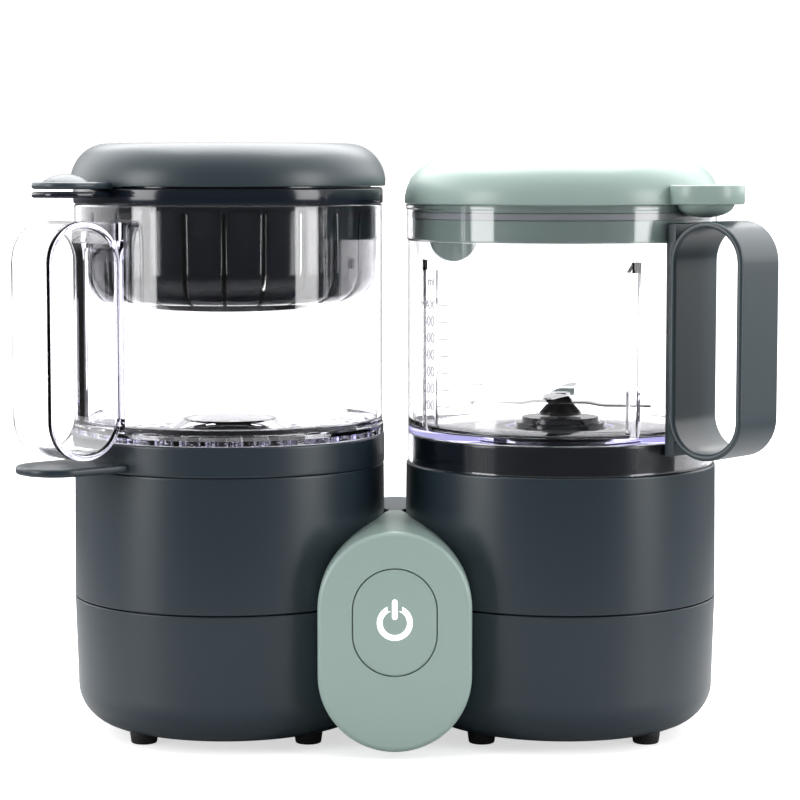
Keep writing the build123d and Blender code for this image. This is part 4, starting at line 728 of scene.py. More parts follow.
def latticed(outer, inner, kept):
    """A wall with windows: both skins keep the cells marked as kept, and a strip closes the wall along every
    line between a kept cell and an open one."""
    rows, columns = outer.shape[:2]
    ids = np.arange(rows * columns).reshape(rows, columns)
    after = np.roll(ids, -1, 1)
    other = rows * columns
    cells = np.stack([ids[:-1], after[:-1], after[1:], ids[1:]], -1)[kept]
    ends = np.vstack([np.zeros((1, columns), bool), kept, np.zeros((1, columns), bool)])
    level = ends[1:] != ends[:-1]
    upright = np.roll(kept, 1, 1) != kept
    flat = np.stack([ids, after, after + other, ids + other], -1)[level]
    tall = np.stack([ids[:-1], ids[1:], ids[1:] + other, ids[:-1] + other], -1)[upright]
    points = np.vstack([outer.reshape(-1, 3), inner.reshape(-1, 3)])
    return points, np.vstack([cells, cells[:, ::-1] + other, flat, tall])


basket_rim, basket_bend, basket_under, dish_under = 242.5, 205.9, 192.4, 189.0
basket_wall, basket_inside, bend_from, slots_from = 65.3, 63.5, 51.8, 49.3
slots_top = 231.6
bend_turn = np.linspace(0, np.pi / 2, 13)[1:-1]


def bend(wall):
    """The quarter circle where a wall of the basket turns in under it, about one centre for both walls."""
    radius = wall - bend_from
    return np.stack([bend_from + radius * np.cos(bend_turn), basket_bend - radius * np.sin(bend_turn)], 1)


rim_levels = [242.1, 241.9, 241.5, 236.2, 235.7, 235.4, 235.3, 235.2]
wall_levels = [234.6, slots_top, 231.0, 206.6, basket_bend]
basket_outer = np.concatenate(
    [
        [(66.0, basket_rim), (67.7, basket_rim), (68.1, 242.4), (68.45, 242.0), (68.6, 241.5)],
        [(68.6, 236.2), (68.45, 235.7), (68.0, 235.4), (66.2, 235.4), (65.5, 235.2)],
        [(basket_wall, level) for level in wall_levels],
        bend(basket_wall),
        [(bend_from, basket_under), (slots_from, basket_under), (38.6, basket_under), (37.6, 192.2)],
        [(36.6, 189.5), (35.6, dish_under), (20.0, dish_under), (0, dish_under)],
    ]
)
basket_inner = np.concatenate(
    [
        [(63.9, basket_rim), (63.6, 242.3)],
        [(basket_inside, level) for level in rim_levels + wall_levels],
        bend(basket_inside),
        [(bend_from, 194.2), (slots_from, 194.2), (38.0, 194.2), (37.0, 194.0)],
        [(35.4, 191.0), (34.6, 190.8), (20.0, 190.8), (0, 190.8)],
    ]
)
bars = 24
slot_rows = (basket_outer[:, 1] <= slots_top) & (basket_outer[:, 0] >= slots_from)
pitch = 2 * np.pi / bars
across_bar = np.array([0.0, 0.035, 0.10, 0.25, 0.42, 0.58, 0.75, 0.90, 0.965, 1.0])
slot_half = np.arcsin(0.85 / np.maximum(basket_outer[:, 0], slots_from))[:, None, None]
first_slot = math.radians(-88.0)
bar_middle = first_slot + pitch * np.arange(bars)[None, :, None]
bar_angle = (bar_middle + slot_half + across_bar * (pitch - 2 * slot_half)).reshape(len(basket_outer), -1)
edge_drop = np.interp(across_bar, [0, 0.035, 0.10, 0.5, 0.9, 0.965, 1], [0.75, 0.2, 0, -0.25, 0, 0.2, 0.75])
drop_share = slot_rows * np.interp(basket_outer[:, 1], [basket_under, 205, 229, slots_top], [0.4, 1, 1, 0.3])
bar_drop = np.tile(edge_drop, bars)[None, :] * drop_share[:, None]


def round_tower(outline, angle, drop, centre):
    """Points at each outline row's radius and height, at the row's own angles, with the radius let in by
    a drop."""
    radius = outline[:, :1] - drop
    height = outline[:, 1:] + 0 * angle
    return np.stack([centre[0] + radius * np.cos(angle), centre[1] + radius * np.sin(angle), height], -1)


kept = np.ones((len(basket_outer) - 1, bar_angle.shape[1]), bool)
open_rows = slot_rows[:-1] & slot_rows[1:]
open_columns = np.arange(bar_angle.shape[1]) % len(across_bar) == len(across_bar) - 1
kept[np.ix_(open_rows, open_columns)] = False
basket_skin = latticed(
    round_tower(basket_outer, bar_angle, bar_drop, steamer),
    round_tower(basket_inner, bar_angle, 0 * bar_drop, steamer),
    kept,
)
tongue_side = [(60.0, 9.0, 0), (69.0, 9.6, 5.0), (79.0, 14.2, 12.0), (99.0, 13.6, 12.6)]
tongue_near = [(out, -side, rounding) for out, side, rounding in tongue_side]
tongue_plan = rounded([*tongue_near, *tongue_side[::-1]], steps=10)
basket_tab = slab(outwards(steamer, left_turn, tongue_plan), 238.3, 240.9, 1.1)
show("slotted_basket", [basket_skin, basket_tab], dark_gloss, "basket", "dark_gloss", "small_basket")

# ---------------------------------------------------------------- steamer lid
# A matt slate dome with a finger tab that has a raised dimple. A dark plate under it closes the dome.
slate_lid = plastic("slate_lid", (0.034, 0.052, 0.063), 0.36, grain=(1200, 0.12), specular=0.6)


def lid_section(bottom, inner):
    """A lid's wall: an upright edge, a quarter-ellipse shoulder that runs into a flat top, and the same
    shape again inside."""
    t = np.linspace(0, np.pi / 2, 25)
    shoulder = 53.5
    outer = np.stack([shoulder + 16.3 * np.cos(t), bottom + 1.1 + 17.5 * np.sin(t)], 1)
    inside = np.stack([shoulder + 14.1 * np.cos(t), bottom + 2.2 + 14.2 * np.sin(t)], 1)[::-1]
    top, under = bottom + 18.65, bottom + 16.4
    return np.concatenate(
        [
            [(inner, bottom), (69.2, bottom), (69.55, bottom + 0.12), (69.74, bottom + 0.35)],
            outer,
            [(40.0, top - 0.03), (20.0, top), (0, top), (0, under), (40.0, under)],
            inside,
            [(inner, bottom + 2.2)],
        ]
    )


lid_tab = slab(outwards(steamer, left_turn, tongue_plan), 242.0, 245.0, 1.3)
bump_at = outwards(steamer, left_turn, np.array([[85.0, 0.0]]))[0]
bump_radius, bump_rise, bump_under = 10.2, 3.5, 243.6
share = np.linspace(0, 1, 15)
bump_crown = np.column_stack([bump_radius * share, 244.9 + bump_rise * np.cos(share * np.pi / 2) ** 0.85])
bump_section = np.vstack([bump_crown, [(bump_radius, bump_under), (0, bump_under)]])
steamer_lid = [
    woven(turned(lid_section(243.1, 61.2), steamer)),
    lid_tab,
    woven(turned(bump_section, bump_at, turns=64), rows_close=False),
]
show("steamer_lid_dome", steamer_lid, slate_lid, "bowl_lid", "slate_lid", "steam_lid")
refinish(dark_gloss, "steam_lid_skirt")

# ---------------------------------------------------------------- blade carrier
# A glossy navy ring and plate under the jar, with a stepped mound that holds the blade bearing.
plate_top, plate_under, mound_top = 133.3, 131.1, 140.4
stair_low, stair_high = 135.7, 138.0
carrier_section = rounded(
    [
        (63.4, 120.5, 0),
        (65.6, 120.5, 0.4),
        (65.6, plate_top, 0.8),
        (23.5, plate_top, 0),
        (22.9, stair_low, 0.5),
        (20.6, stair_low, 0.3),
        (20.0, stair_high, 0.5),
        (17.7, stair_high, 0.3),
        (17.1, mound_top, 0.5),
        (4.6, mound_top, 0),
        (4.6, 132.3, 0),
        (7.0, 132.3, 0),
        (7.0, 137.0, 0),
        (12.6, 137.0, 0),
        (21.1, plate_under, 0),
        (63.4, plate_under, 0),
    ]
)
carrier = woven(turned(carrier_section, blender))
show("carrier_ring", [carrier], dark_gloss, "carrier", "dark_gloss", "blade_carrier")

# ---------------------------------------------------------------- blades
# Two pressed steel strips crossed on the spindle: the lower pair dips, the upper pair turns up. The
# leading edges are ground, and a nut clamps them to a black hub.
def drawn_metal():
    """Metal with fine lines: long stretched noise shifts the tone and the gloss and stands as a bump."""
    group, given, out = shader_group(
        "drawn_metal",
        [
            ("Colour", "Color", (0.6, 0.6, 0.6, 1)),
            ("Stretch", "Vector", (60.0, 60.0, 1500.0)),
            ("Roughness", "Float", 0.25),
            ("Line Depth", "Float", 0.1),
        ],
    )
    place = add(group, "TexCoord")
    stretch = add(group, "VectorMath", operation="MULTIPLY")
    lines = add(group, "TexNoise", {"Scale": 1.0, "Detail": 4.0})
    shade = add(group, "MapRange", {"To Min": 0.85, "To Max": 1.15})
    tint = add(group, "VectorMath", operation="SCALE")
    gloss = add(group, "Math", operation="MULTIPLY")
    bump = add(group, "Bump", {"Distance": 0.00005})
    link = group.links.new
    link(place.outputs["Object"], stretch.inputs[0])
    link(given.outputs["Stretch"], stretch.inputs[1])
    link(stretch.outputs[0], lines.inputs["Vector"])
    link(lines.outputs["Fac"], shade.inputs["Value"])
    link(given.outputs["Colour"], tint.inputs[0])
    link(shade.outputs["Result"], tint.inputs["Scale"])
    link(given.outputs["Roughness"], gloss.inputs[0])
    link(shade.outputs["Result"], gloss.inputs[1])
    link(given.outputs["Line Depth"], bump.inputs["Strength"])
    link(lines.outputs["Fac"], bump.inputs["Height"])
    link(tint.outputs[0], out.inputs["Colour"])
    link(gloss.outputs[0], out.inputs["Roughness"])
    link(bump.outputs[0], out.inputs["Normal"])
    return group


metal_group = drawn_metal()


def metal(name, colour, roughness, stretch=(60, 60, 1500), depth=0.1):
    """A metal whose lines come from the shared group."""
    values = {"Colour": (*colour, 1), "Stretch": stretch, "Roughness": roughness, "Line Depth": depth}
    return skinned(name, metal_group, values, {"Metallic": 1.0})


polished_steel = metal("polished_steel", (0.50, 0.50, 0.51), 0.16, stretch=(900, 900, 60), depth=0.06)
blade_radius = 41.0


def capped(rows):
    """A tube of rows of points, closed at both ends: each end row is joined to its own middle."""
    ends = [np.repeat(rows[k].mean(0, keepdims=True), rows.shape[1], 0)[None] for k in (0, -1)]
    return woven(np.concatenate([ends[0], rows, ends[1]]), rows_close=False)


def wing_strip(angle, bottom, rise):
    """One strip with a wing at each end. Along it the height eases up to the rise between 11 and 20 mm from
    the middle; across it the section is a flat plate whose leading edge thins to a ground bevel."""
    wing = np.linspace(7, blade_radius, 24)
    along = np.concatenate([-wing[::-1], np.linspace(-6, 6, 7), wing])
    away = np.abs(along)
    ease = np.clip((away - 11) / 9, 0, 1)
    height = bottom + rise * ease * ease * (3 - 2 * ease)
    stations = [0, 7, 14, 36, 40, blade_radius]
    lead = np.interp(away, stations, [6.5, 6.5, 6.2, 0.6, -1.2, -2.6])
    trail = np.interp(away, stations, [-5.2, -5.2, -5.2, -5.0, -4.6, -3.6])
    hand = np.where(along < 0, -1, 1)
    chord = np.array([0.0, 0.02, 0.5, 0.72, 1.0, 1.0, 0.72, 0.5, 0.02, 0.0])
    lift = np.array([0.15, 0.9, 0.9, 0.9, 0.12, 0.0, 0.0, 0.0, 0.0, 0.05])
    across = (trail[:, None] + (lead - trail)[:, None] * chord) * hand[:, None]
    level = height[:, None] + lift
    c, s = math.cos(math.radians(angle)), math.sin(math.radians(angle))
    x = blender[0] + along[:, None] * c - across * s
    y = blender[1] + along[:, None] * s + across * c
    return capped(np.stack([x, y, level], -1))


lower_wings = wing_strip(-8, 146.4, -1.2)
upper_wings = wing_strip(82, 147.3, 4.0)
show("lower_wings", [lower_wings], polished_steel, "blades", "polished_steel", "blades_lower")
show("upper_wings", [upper_wings], polished_steel, "blades", "polished_steel", "blades_upper")
black_nylon = plastic("black_nylon", (0.014, 0.014, 0.016), 0.38, grain=(1100, 0.15))
hub_low, hub_top = 141.2, 146.4
hub_section = rounded(
    [
        (3.0, hub_low, 0),
        (9.3, hub_low, 0.3),
        (9.3, 142.4, 0.3),
        (6.4, 145.6, 1.0),
        (5.6, hub_top, 0.2),
        (3.0, hub_top, 0),
    ]
)
hub = woven(turned(hub_section, blender, turns=96))
show("blade_hub_cone", [hub], black_nylon, "blades", "polished_steel", "blade_hub")
hexagon = ring_points(blender, 4.4, 6)
along_side = np.tile(np.arange(8) / 8, 6)[:, None]
nut_plan = np.repeat(hexagon, 8, 0) * (1 - along_side)
nut_plan = nut_plan + np.repeat(np.roll(hexagon, -1, 0), 8, 0) * along_side
nut = slab(nut_plan, 148.2, 151.2, 0.35)
show("locking_nut", [nut], polished_steel, "blades", "polished_steel", "blade_nut")

# ---------------------------------------------------------------- button spring
# A steel coil stands between the board and the button. Its board end stays put; it is made at its full
# length, fixed with the base, and is not made to close up as the button goes in.
spring_start, spring_end, spring_level = 54.5, 66.8, 59.2
spring_wire, spring_radius, spring_turns = 0.45, 6.4, 4


def coil():
    """A helix of round wire: the middle line is x = r cos t, z = r sin t and runs ahead evenly with t, and
    the wire's circle stands in the plane of the radius and the pod's depth."""
    t = np.linspace(0, 2 * np.pi * spring_turns, 48 * spring_turns + 1)[:, None]
    around = np.linspace(0, 2 * np.pi, 12, endpoint=False)[None, :]
    ahead = np.interp(t, [0, t.max()], [spring_start + spring_wire, spring_end - spring_wire])
    out = spring_radius + spring_wire * np.cos(around)
    y = axis_y - ahead - spring_wire * np.sin(around)
    return capped(np.stack([out * np.cos(t), y, spring_level + out * np.sin(t)], -1))


spring = show("return_spring", [coil()], polished_steel, "base", "polished_steel", "button_spring")
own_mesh(spring)

# ---------------------------------------------------------------- blender jar
# The clear jar: a straight wall with a wider collar for the lid, a skirt over the carrier, three inner
# ribs that stir the food, and a moulded scale in millilitres.
jar_inner, jar_outer = 65.9, 68.2
jar_under, jar_floor_low, jar_floor_high, jar_rim = 120.5, 133.8, 136.3, 235.0
collar_low, collar_inner = 219.2, 66.6
jar_section = rounded(
    [
        (jar_inner, jar_under, 0.3),
        (jar_outer, jar_under, 0.5),
        (jar_outer, collar_low, 0.3),
        (68.9, collar_low + 0.8, 0.3),
        (68.9, 233.0, 0.2),
        (69.3, 233.5, 0.2),
        (69.3, jar_rim, 0.5),
        (collar_inner, jar_rim, 0.5),
        (collar_inner, collar_low + 0.8, 0.3),
        (jar_inner, collar_low, 0.3),
        (jar_inner, jar_floor_high, 4.0),
        (24.1, jar_floor_high, 0.3),
        (24.1, jar_floor_low, 0.2),
        (jar_inner, jar_floor_low, 0.3),
    ]
)


def jar_rib(angle):
    """A rib inside the jar's wall: its section is a rounded bar, and its top slopes out to the wall."""
    rib_low, rib_high, slope = 135.6, 212.0, 5.5
    wall_side, free_side, half = 66.6, 60.9, 2.2
    section = rounded(
        [(wall_side, -half, 0), (free_side, -half, 0.7), (free_side, half, 0.7), (wall_side, half, 0)],
        steps=5,
    )
    top = rib_high - slope * (wall_side - section[:, 0]) / (wall_side - free_side)
    plan = outwards(blender, math.radians(angle), section)
    return capped(np.stack([at_height(plan, rib_low), at_height(plan, top)]))


jar_mesh = moulded_as_one(
    "clear_blender_jar",
    mesh_of("jar_skin", woven(turned(jar_section, blender))),
    *[mesh_of(f"jar_rib_{n}", jar_rib(angle)) for n, angle in enumerate((-65, -155, 25))],
)
show("clear_blender_jar", jar_mesh, clear_plastic, "jar", "clear_plastic", "blender_jar")

scale_plastic = plastic("scale_print", (0.74, 0.74, 0.78), 0.35, grain=(900, 0.05))


def wrapped(plan_mesh, angle, level):
    """Wraps flat lettering onto the jar: sideways becomes an angle round the wall, and upwards stays up."""
    points = np.zeros(len(plan_mesh.vertices) * 3)
    plan_mesh.vertices.foreach_get("co", points)
    points = points.reshape(-1, 3)
    wall = jar_outer * mm
    turn = math.radians(angle) + points[:, 0] / wall
    radius = wall + points[:, 2]
    x = blender[0] * mm + radius * np.cos(turn)
    y = blender[1] * mm + radius * np.sin(turn)
    plan_mesh.vertices.foreach_set("co", np.stack([x, y, level * mm + points[:, 1]], 1).ravel())
    return plan_mesh


def lettering(words, size):
    """Flat raised lettering of generic figures, as a mesh."""
    curve = bpy.data.curves.new("figures", "FONT")
    curve.body = words
    curve.size = size * mm
    curve.align_x = "RIGHT"
    curve.extrude = 0.12 * mm
    text = bpy.data.objects.new("figures", curve)
    scene.collection.objects.link(text)
    graph = bpy.context.evaluated_depsgraph_get()
    graph.update()
    mesh = bpy.data.meshes.new_from_object(text.evaluated_get(graph))
    bpy.data.objects.remove(text)
    return mesh


def joined_meshes(name, meshes):
    """Several loose meshes in one."""
    work = bmesh.new()
    for mesh in meshes:
        work.from_mesh(mesh)
        bpy.data.meshes.remove(mesh)
    bmesh.ops.remove_doubles(work, verts=work.verts, dist=2e-6)
    bmesh.ops.recalc_face_normals(work, faces=work.faces)
    whole = bpy.data.meshes.new(name)
    work.to_mesh(whole)
    work.free()
    return whole


def tick(angle_from, angle_to, level, height=0.5):
    """A raised scale mark that runs round the wall between two angles: its section is a low trapezium."""
    t = np.radians(np.linspace(angle_from, angle_to, 9))[:, None]
    root, face = jar_outer - 0.05, jar_outer + 0.22
    radius = np.array([root, face, face, root])
    across = np.array([-0.5, -0.35, 0.35, 0.5]) * height
    x = blender[0] + radius * np.cos(t)
    y = blender[1] + radius * np.sin(t)
    return capped(np.stack([x, y, level + across + 0 * t], -1))


step = 7.3
figures_at, figures_low, marks_low = -146.5, 146.4, 148.3
words = [(str(100 * (n + 1)), 6.4, n) for n in range(6)] + [("MAX", 5.6, 6), ("ml", 5.6, 7.4)]
figures = [wrapped(lettering(word, size), figures_at, figures_low + step * n) for word, size, n in words]
marks = [tick(-144.5, -137.0, marks_low + step * n) for n in range(7)]
marks += [tick(-127.0, -122.5, marks_low + step * n / 2, 0.4) for n in range(9)]
figures.append(mesh_of("scale_marks", *marks))
show("jar_scale", joined_meshes("jar_scale", figures), scale_plastic, "jar", "clear_plastic")

# ---------------------------------------------------------------- jar handle
# A slate loop moulded apart from the jar and snapped onto two lugs on its wall. The block that joins the
# loop to the jar is flat outside, and its inside follows the round wall.
root_across = np.linspace(-15.2, 15.2, 25)
root_near = np.stack([np.sqrt(68.4**2 - root_across**2), root_across], 1)
root_far = np.stack([np.full(25, 71.2), root_across], 1)[::-1]
handle_plan = outwards(blender, right_turn, np.concatenate([root_near, root_far]))
handle = [strap_loop(blender, right_turn), slab(handle_plan, 128.4, 227.6, 0.5)]
show("jar_grip", handle, slate_lid, "jar", "slate_lid", "jar_handle")

# ---------------------------------------------------------------- blender lid
# A mint dome with a thumb rest that stands out over the handle, and a skirt that plugs into the collar
# and carries the seal.
thumb_at = outwards(blender, right_turn, np.array([[75.8, 0.0]]))[0]
thumb_top, dip_depth = 243.6, 2.6
dip_turn = np.linspace(0, 1, 17) * np.pi / 2
thumb_under = np.stack([12.4 * np.sin(dip_turn), 235.6 - 5.7 * np.cos(dip_turn)], 1)
thumb_dip = np.stack([14.6 * np.sin(dip_turn), thumb_top - dip_depth * np.cos(dip_turn)], 1)[::-1]
thumb_edge = [(15.9, 235.5), (16.5, 235.7), (16.8, 236.4), (16.8, 242.9), (16.65, 243.4), (16.2, 243.75)]
thumb_section = np.concatenate([thumb_under, thumb_edge, [(15.4, 243.8)], thumb_dip])
blender_lid = [
    woven(turned(lid_section(235.3, 64.2), blender)),
    woven(turned(thumb_section, thumb_at, turns=96), rows_close=False),
]
show("blender_lid_dome", blender_lid, mint, "jar_lid", "mint", "blender_lid_cap")

plug_radius, groove_radius = 66.1, 64.5
liner_section = rounded(
    [
        (0, 221.4, 0),
        (64.1, 221.4, 0),
        (64.1, 219.4, 0.3),
        (plug_radius, 219.4, 0.5),
        (plug_radius, 228.8, 0.3),
        (groove_radius, 228.8, 0.2),
        (groove_radius, 231.8, 0.2),
        (plug_radius, 231.8, 0.3),
        (plug_radius, 237.4, 0),
        (62.5, 237.4, 0),
        (62.5, 223.4, 0.4),
        (0, 223.4, 0),
    ]
)

# The liner's tongue is a half disc with soft edges that hangs inside the jar on the side away from the
# handle. Each row of it is (distance out, inset of its outline), and its first and last rows are poles.
tongue_turn = math.radians(140.0)
tongue_half = 17.5
half_disc = np.linspace(np.pi, 2 * np.pi, 33)
disc_edge = np.stack([tongue_half * np.cos(half_disc), 219.4 + 11.2 * np.sin(half_disc)], 1)
tongue_face = np.vstack([disc_edge, [(tongue_half, 221.8), (-tongue_half, 221.8)]])
tongue_middle = np.array([0.0, 217.0])
away = tongue_face - tongue_middle
length = np.linalg.norm(away, axis=1, keepdims=True)
tongue_inner, tongue_outer = 61.1, 63.1
soft_edge = [(tongue_inner, 0.6), (61.4, 0.1), (61.7, 0.0), (62.6, 0.0), (62.9, 0.1), (tongue_outer, 0.6)]
tongue_rows = []
for out, inset in ((tongue_inner, length), *soft_edge, (tongue_outer, length)):
    face = tongue_middle + away * np.maximum(length - inset, 0) / length
    plan = outwards(blender, tongue_turn, np.column_stack([np.full(len(face), out), face[:, 0]]))
    tongue_rows.append(at_height(plan, face[:, 1]))
liner = [woven(turned(liner_section, blender)), woven(np.stack(tongue_rows), rows_close=False)]
show("lid_liner", liner, mint, "jar_lid", "mint", "blender_lid_liner")

# ---------------------------------------------------------------- parts inside and behind
# The boiler, the motor, the drive, the controls, the wiring and the gland keep their CAD shapes. Their
# skins are shaded smooth, with crisp edges, and each has the finish of its own metal or plastic.
silicone = plastic("silicone", (0.45, 0.48, 0.50), 0.55, grain=(700, 0.1))
plated_steel = metal("plated_steel", (0.42, 0.42, 0.44), 0.34, stretch=(300, 300, 300), depth=0.1)
screw_steel = metal("screw_steel", (0.34, 0.34, 0.36), 0.30, stretch=(900, 900, 200), depth=0.1)
aluminium = metal("aluminium", (0.58, 0.58, 0.60), 0.42, stretch=(500, 500, 500), depth=0.2)
bronze = metal("bronze", (0.50, 0.34, 0.18), 0.40, stretch=(700, 700, 700), depth=0.2)
copper_winding = metal("copper_winding", (0.60, 0.26, 0.12), 0.32, stretch=(150, 150, 2600), depth=0.6)
circuit_board = plastic("circuit_board", (0.02, 0.14, 0.06), 0.35, grain=(600, 0.15))
lead_insulation = plastic("lead_insulation", (0.55, 0.55, 0.52), 0.6, grain=(1600, 0.4))


def smooth_shading():
    """Merges a CAD skin's loose triangles and shades it smooth, keeping edges over 30 degrees crisp."""
    group = bpy.data.node_groups.new("smooth_skin", "GeometryNodeTree")
    group.interface.new_socket(name="Geometry", in_out="INPUT", socket_type="NodeSocketGeometry")
    group.interface.new_socket(name="Geometry", in_out="OUTPUT", socket_type="NodeSocketGeometry")
    make, link = group.nodes.new, group.links.new
    given, out = make("NodeGroupInput"), make("NodeGroupOutput")
    weld = make("GeometryNodeMergeByDistance")
    weld.inputs["Distance"].default_value = 2e-6
    angle = make("GeometryNodeInputMeshEdgeAngle")
    steep = make("FunctionNodeCompare")
    steep.data_type = "FLOAT"
    steep.operation = "GREATER_THAN"
    steep.inputs[1].default_value = math.radians(30)
    faces = make("GeometryNodeSetShadeSmooth")
    faces.domain = "FACE"
    edges = make("GeometryNodeSetShadeSmooth")
    edges.domain = "EDGE"
    edges.inputs["Shade Smooth"].default_value = False
    link(given.outputs[0], weld.inputs["Geometry"])
    link(weld.outputs[0], faces.inputs["Geometry"])
    link(faces.outputs[0], edges.inputs["Geometry"])
    link(angle.outputs["Unsigned Angle"], steep.inputs[0])
    link(steep.outputs[0], edges.inputs["Selection"])
    link(edges.outputs[0], out.inputs[0])
    return group


skin_group = smooth_shading()
refinish(silicone, "boiler_seal", "carrier_gasket", "shaft_seal", "blender_lid_seal")
refinish(polished_steel, "boiler_dish", "blade_shaft", "motor_shaft")
refinish(plated_steel, "motor_can", "motor_end_cap", "motor_plate", "armature", "boiler_bracket")
refinish(screw_steel, "housing_screws", "motor_screws", "board_screws")
refinish(aluminium, "heater_plate", "heating_element")
refinish(bronze, "shaft_bearings", "shaft_bush")
refinish(copper_winding, "stator_coils")
refinish(black_nylon, "cooling_fan", "drive_coupling", "driven_coupling")
refinish(black_nylon, "terminal_block", "push_switch", "boiler_thermostat")
refinish(circuit_board, "control_board")
refinish(lead_insulation, "heater_leads", "motor_leads")
refinish(black_rubber, "motor_dampers", "cord_gland")
for cad_part in nodes.values():
    if not cad_part.hide_render:
        cad_part.modifiers.new("smooth_skin", "NODES").node_group = skin_group

# ---------------------------------------------------------------- floor, light and camera
# A pale table top in a white studio: bright panels at both sides and behind, a soft light above, and a
# dim room in front, where the camera stands.
table_half = 60.0
table_corners = [(x * table_half, y * table_half, 0) for x, y in ((-1, -1), (1, -1), (1, 1), (-1, 1))]
table_mesh = bpy.data.meshes.new("table_top")
table_mesh.from_pydata(table_corners, [], [(0, 1, 2, 3)])
table_top = bpy.data.objects.new("table_top", table_mesh)
scene.collection.objects.link(table_top)
pale = plastic("pale_table", (0.90, 0.90, 0.90), 0.7, drift=0.01, grain=(300, 0.02), specular=0.1)


def lit_from_below(material):
    """The table top glows white where it is seen, directly or through the clear vessels. For other rays its
    colour
    is a painted pool of light: pale close to the object, falling off into the dim room over half a metre."""
    tree = material.node_tree
    link = tree.links.new
    skin = tree.nodes["Principled BSDF"]
    mould = next(node for node in tree.nodes if node.type == "GROUP")
    place = add(tree, "TexCoord")
    parts = add(tree, "SeparateXYZ")
    behind = add(tree, "Math", {1: 0.02}, "GREATER_THAN")
    seen = add(tree, "LightPath")
    through = add(tree, "Math", operation="MULTIPLY")
    direct = add(tree, "Math", operation="MAXIMUM")
    distance = add(tree, "VectorMath", operation="LENGTH")
    # The table's colour falls off with distance from the object: a painted pool of light around it.
    painted_light_pool = add(tree, "MapRange", {"From Min": 0.22, "From Max": 0.75, "To Min": 0.60, "To Max": 0.05})
    tone = add(tree, "Math", operation="MAXIMUM")
    shade = add(tree, "VectorMath", operation="SCALE")
    glow = add(tree, "Math", {1: 0.62}, "MULTIPLY")
    link(place.outputs["Object"], parts.inputs[0])
    link(place.outputs["Object"], distance.inputs[0])
    link(distance.outputs["Value"], painted_light_pool.inputs["Value"])
    link(parts.outputs["Y"], behind.inputs[0])
    link(seen.outputs["Is Transmission Ray"], through.inputs[0])
    link(behind.outputs[0], through.inputs[1])
    link(seen.outputs["Is Camera Ray"], direct.inputs[0])
    link(through.outputs[0], direct.inputs[1])
    link(direct.outputs[0], tone.inputs[0])
    link(painted_light_pool.outputs["Result"], tone.inputs[1])
    link(mould.outputs["Colour"], shade.inputs[0])
    link(tone.outputs[0], shade.inputs["Scale"])
    link(shade.outputs[0], skin.inputs["Base Color"])
    link(direct.outputs[0], glow.inputs[0])
    link(glow.outputs[0], skin.inputs["Emission Strength"])
    skin.inputs["Emission Color"].default_value = (1, 1, 1, 1)


lit_from_below(pale)
table_mesh.materials.append(pale)


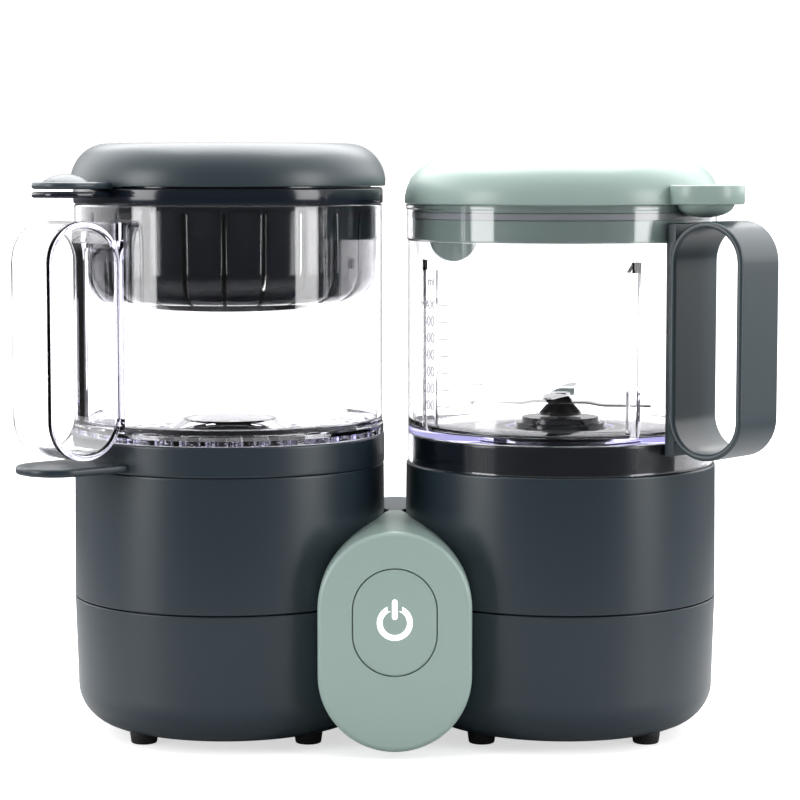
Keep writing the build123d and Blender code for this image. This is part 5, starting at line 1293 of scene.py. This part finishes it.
def studio_room():
    """The room: white where it is seen directly, and behind the object also where it is seen through the
    clear vessels. For other rays a ramp over the direction's Y holds the dim front and the bright panels."""
    room = bpy.data.worlds.new("studio")
    room.use_nodes = True
    tree = room.node_tree
    tree.nodes.clear()
    out = add(tree, "OutputWorld")
    bright = add(tree, "Background", {"Color": (1, 1, 1, 1), "Strength": 1.05})
    lit = add(tree, "Background", {"Color": (1, 1, 1, 1)})
    heading = add(tree, "TexCoord")
    parts = add(tree, "SeparateXYZ")
    panels = add(tree, "ValToRGB")
    stops = panels.color_ramp.elements
    stops[0].color = (0.05, 0.05, 0.05, 1)
    stops[1].color = (0.10, 0.10, 0.10, 1)
    for position, tone in ((0.17, 0.04), (0.30, 0.34), (0.55, 0.45), (0.72, 1.0), (0.86, 1.0), (0.95, 0.22)):
        stops.new(position).color = (tone, tone, tone, 1)
    half_turn = add(tree, "MapRange", {"From Min": -1.0})
    panel_power = add(tree, "Math", {1: 3.0}, "MULTIPLY")
    seen = add(tree, "LightPath")
    ahead = add(tree, "MapRange", {"From Min": -0.1, "From Max": 0.6, "To Min": 0.12})
    through = add(tree, "Math", operation="MULTIPLY")
    either = add(tree, "Math", operation="MAXIMUM")
    blend = add(tree, "MixShader")
    link = tree.links.new
    link(heading.outputs["Generated"], parts.inputs[0])
    link(parts.outputs["Y"], half_turn.inputs["Value"])
    link(half_turn.outputs["Result"], panels.inputs["Fac"])
    link(panels.outputs["Color"], panel_power.inputs[0])
    link(panel_power.outputs[0], lit.inputs["Strength"])
    link(seen.outputs["Is Camera Ray"], either.inputs[0])
    link(parts.outputs["Y"], ahead.inputs["Value"])
    link(seen.outputs["Is Transmission Ray"], through.inputs[0])
    link(ahead.outputs["Result"], through.inputs[1])
    link(through.outputs[0], either.inputs[1])
    link(either.outputs[0], blend.inputs[0])
    link(lit.outputs[0], blend.inputs[1])
    link(bright.outputs[0], blend.inputs[2])
    link(blend.outputs[0], out.inputs[0])
    return room


scene.world = studio_room()


def soft_light(name, at, aim, size, power):
    """A square soft light that faces a point."""
    lamp = bpy.data.lights.new(name, "AREA")
    lamp.shape = "RECTANGLE"
    lamp.size, lamp.size_y = size
    lamp.energy = power
    holder = bpy.data.objects.new(name, lamp)
    holder.location = at
    holder.rotation_euler = (Vector(aim) - Vector(at)).to_track_quat("-Z", "Y").to_euler()
    scene.collection.objects.link(holder)


soft_light("top_light", (0, 0.35, 1.2), (0, 0, 0.15), (1.0, 0.8), 13)
soft_light("back_light", (0, 1.1, 1.0), (0, 0, 0.2), (1.4, 0.5), 9)
soft_light("left_light", (-1.5, -0.8, 0.5), (0, 0, 0.14), (0.6, 1.0), 12)
soft_light("right_light", (1.5, -0.8, 0.5), (0, 0, 0.14), (0.6, 1.0), 12)

camera_ahead, camera_up, camera_tilt = 1.137, 0.250, 5.15
camera = bpy.data.cameras.new("camera")
camera.lens = 114.75
camera.sensor_width = 36.0
camera.clip_start = 0.05
tripod = bpy.data.objects.new("camera", camera)
tripod.location = (0.0022, axis_y * mm - camera_ahead, camera_up)
tripod.rotation_euler = (math.radians(90 - camera_tilt), 0, 0)
scene.collection.objects.link(tripod)
scene.camera = tripod
scene.view_settings.view_transform = "Standard"
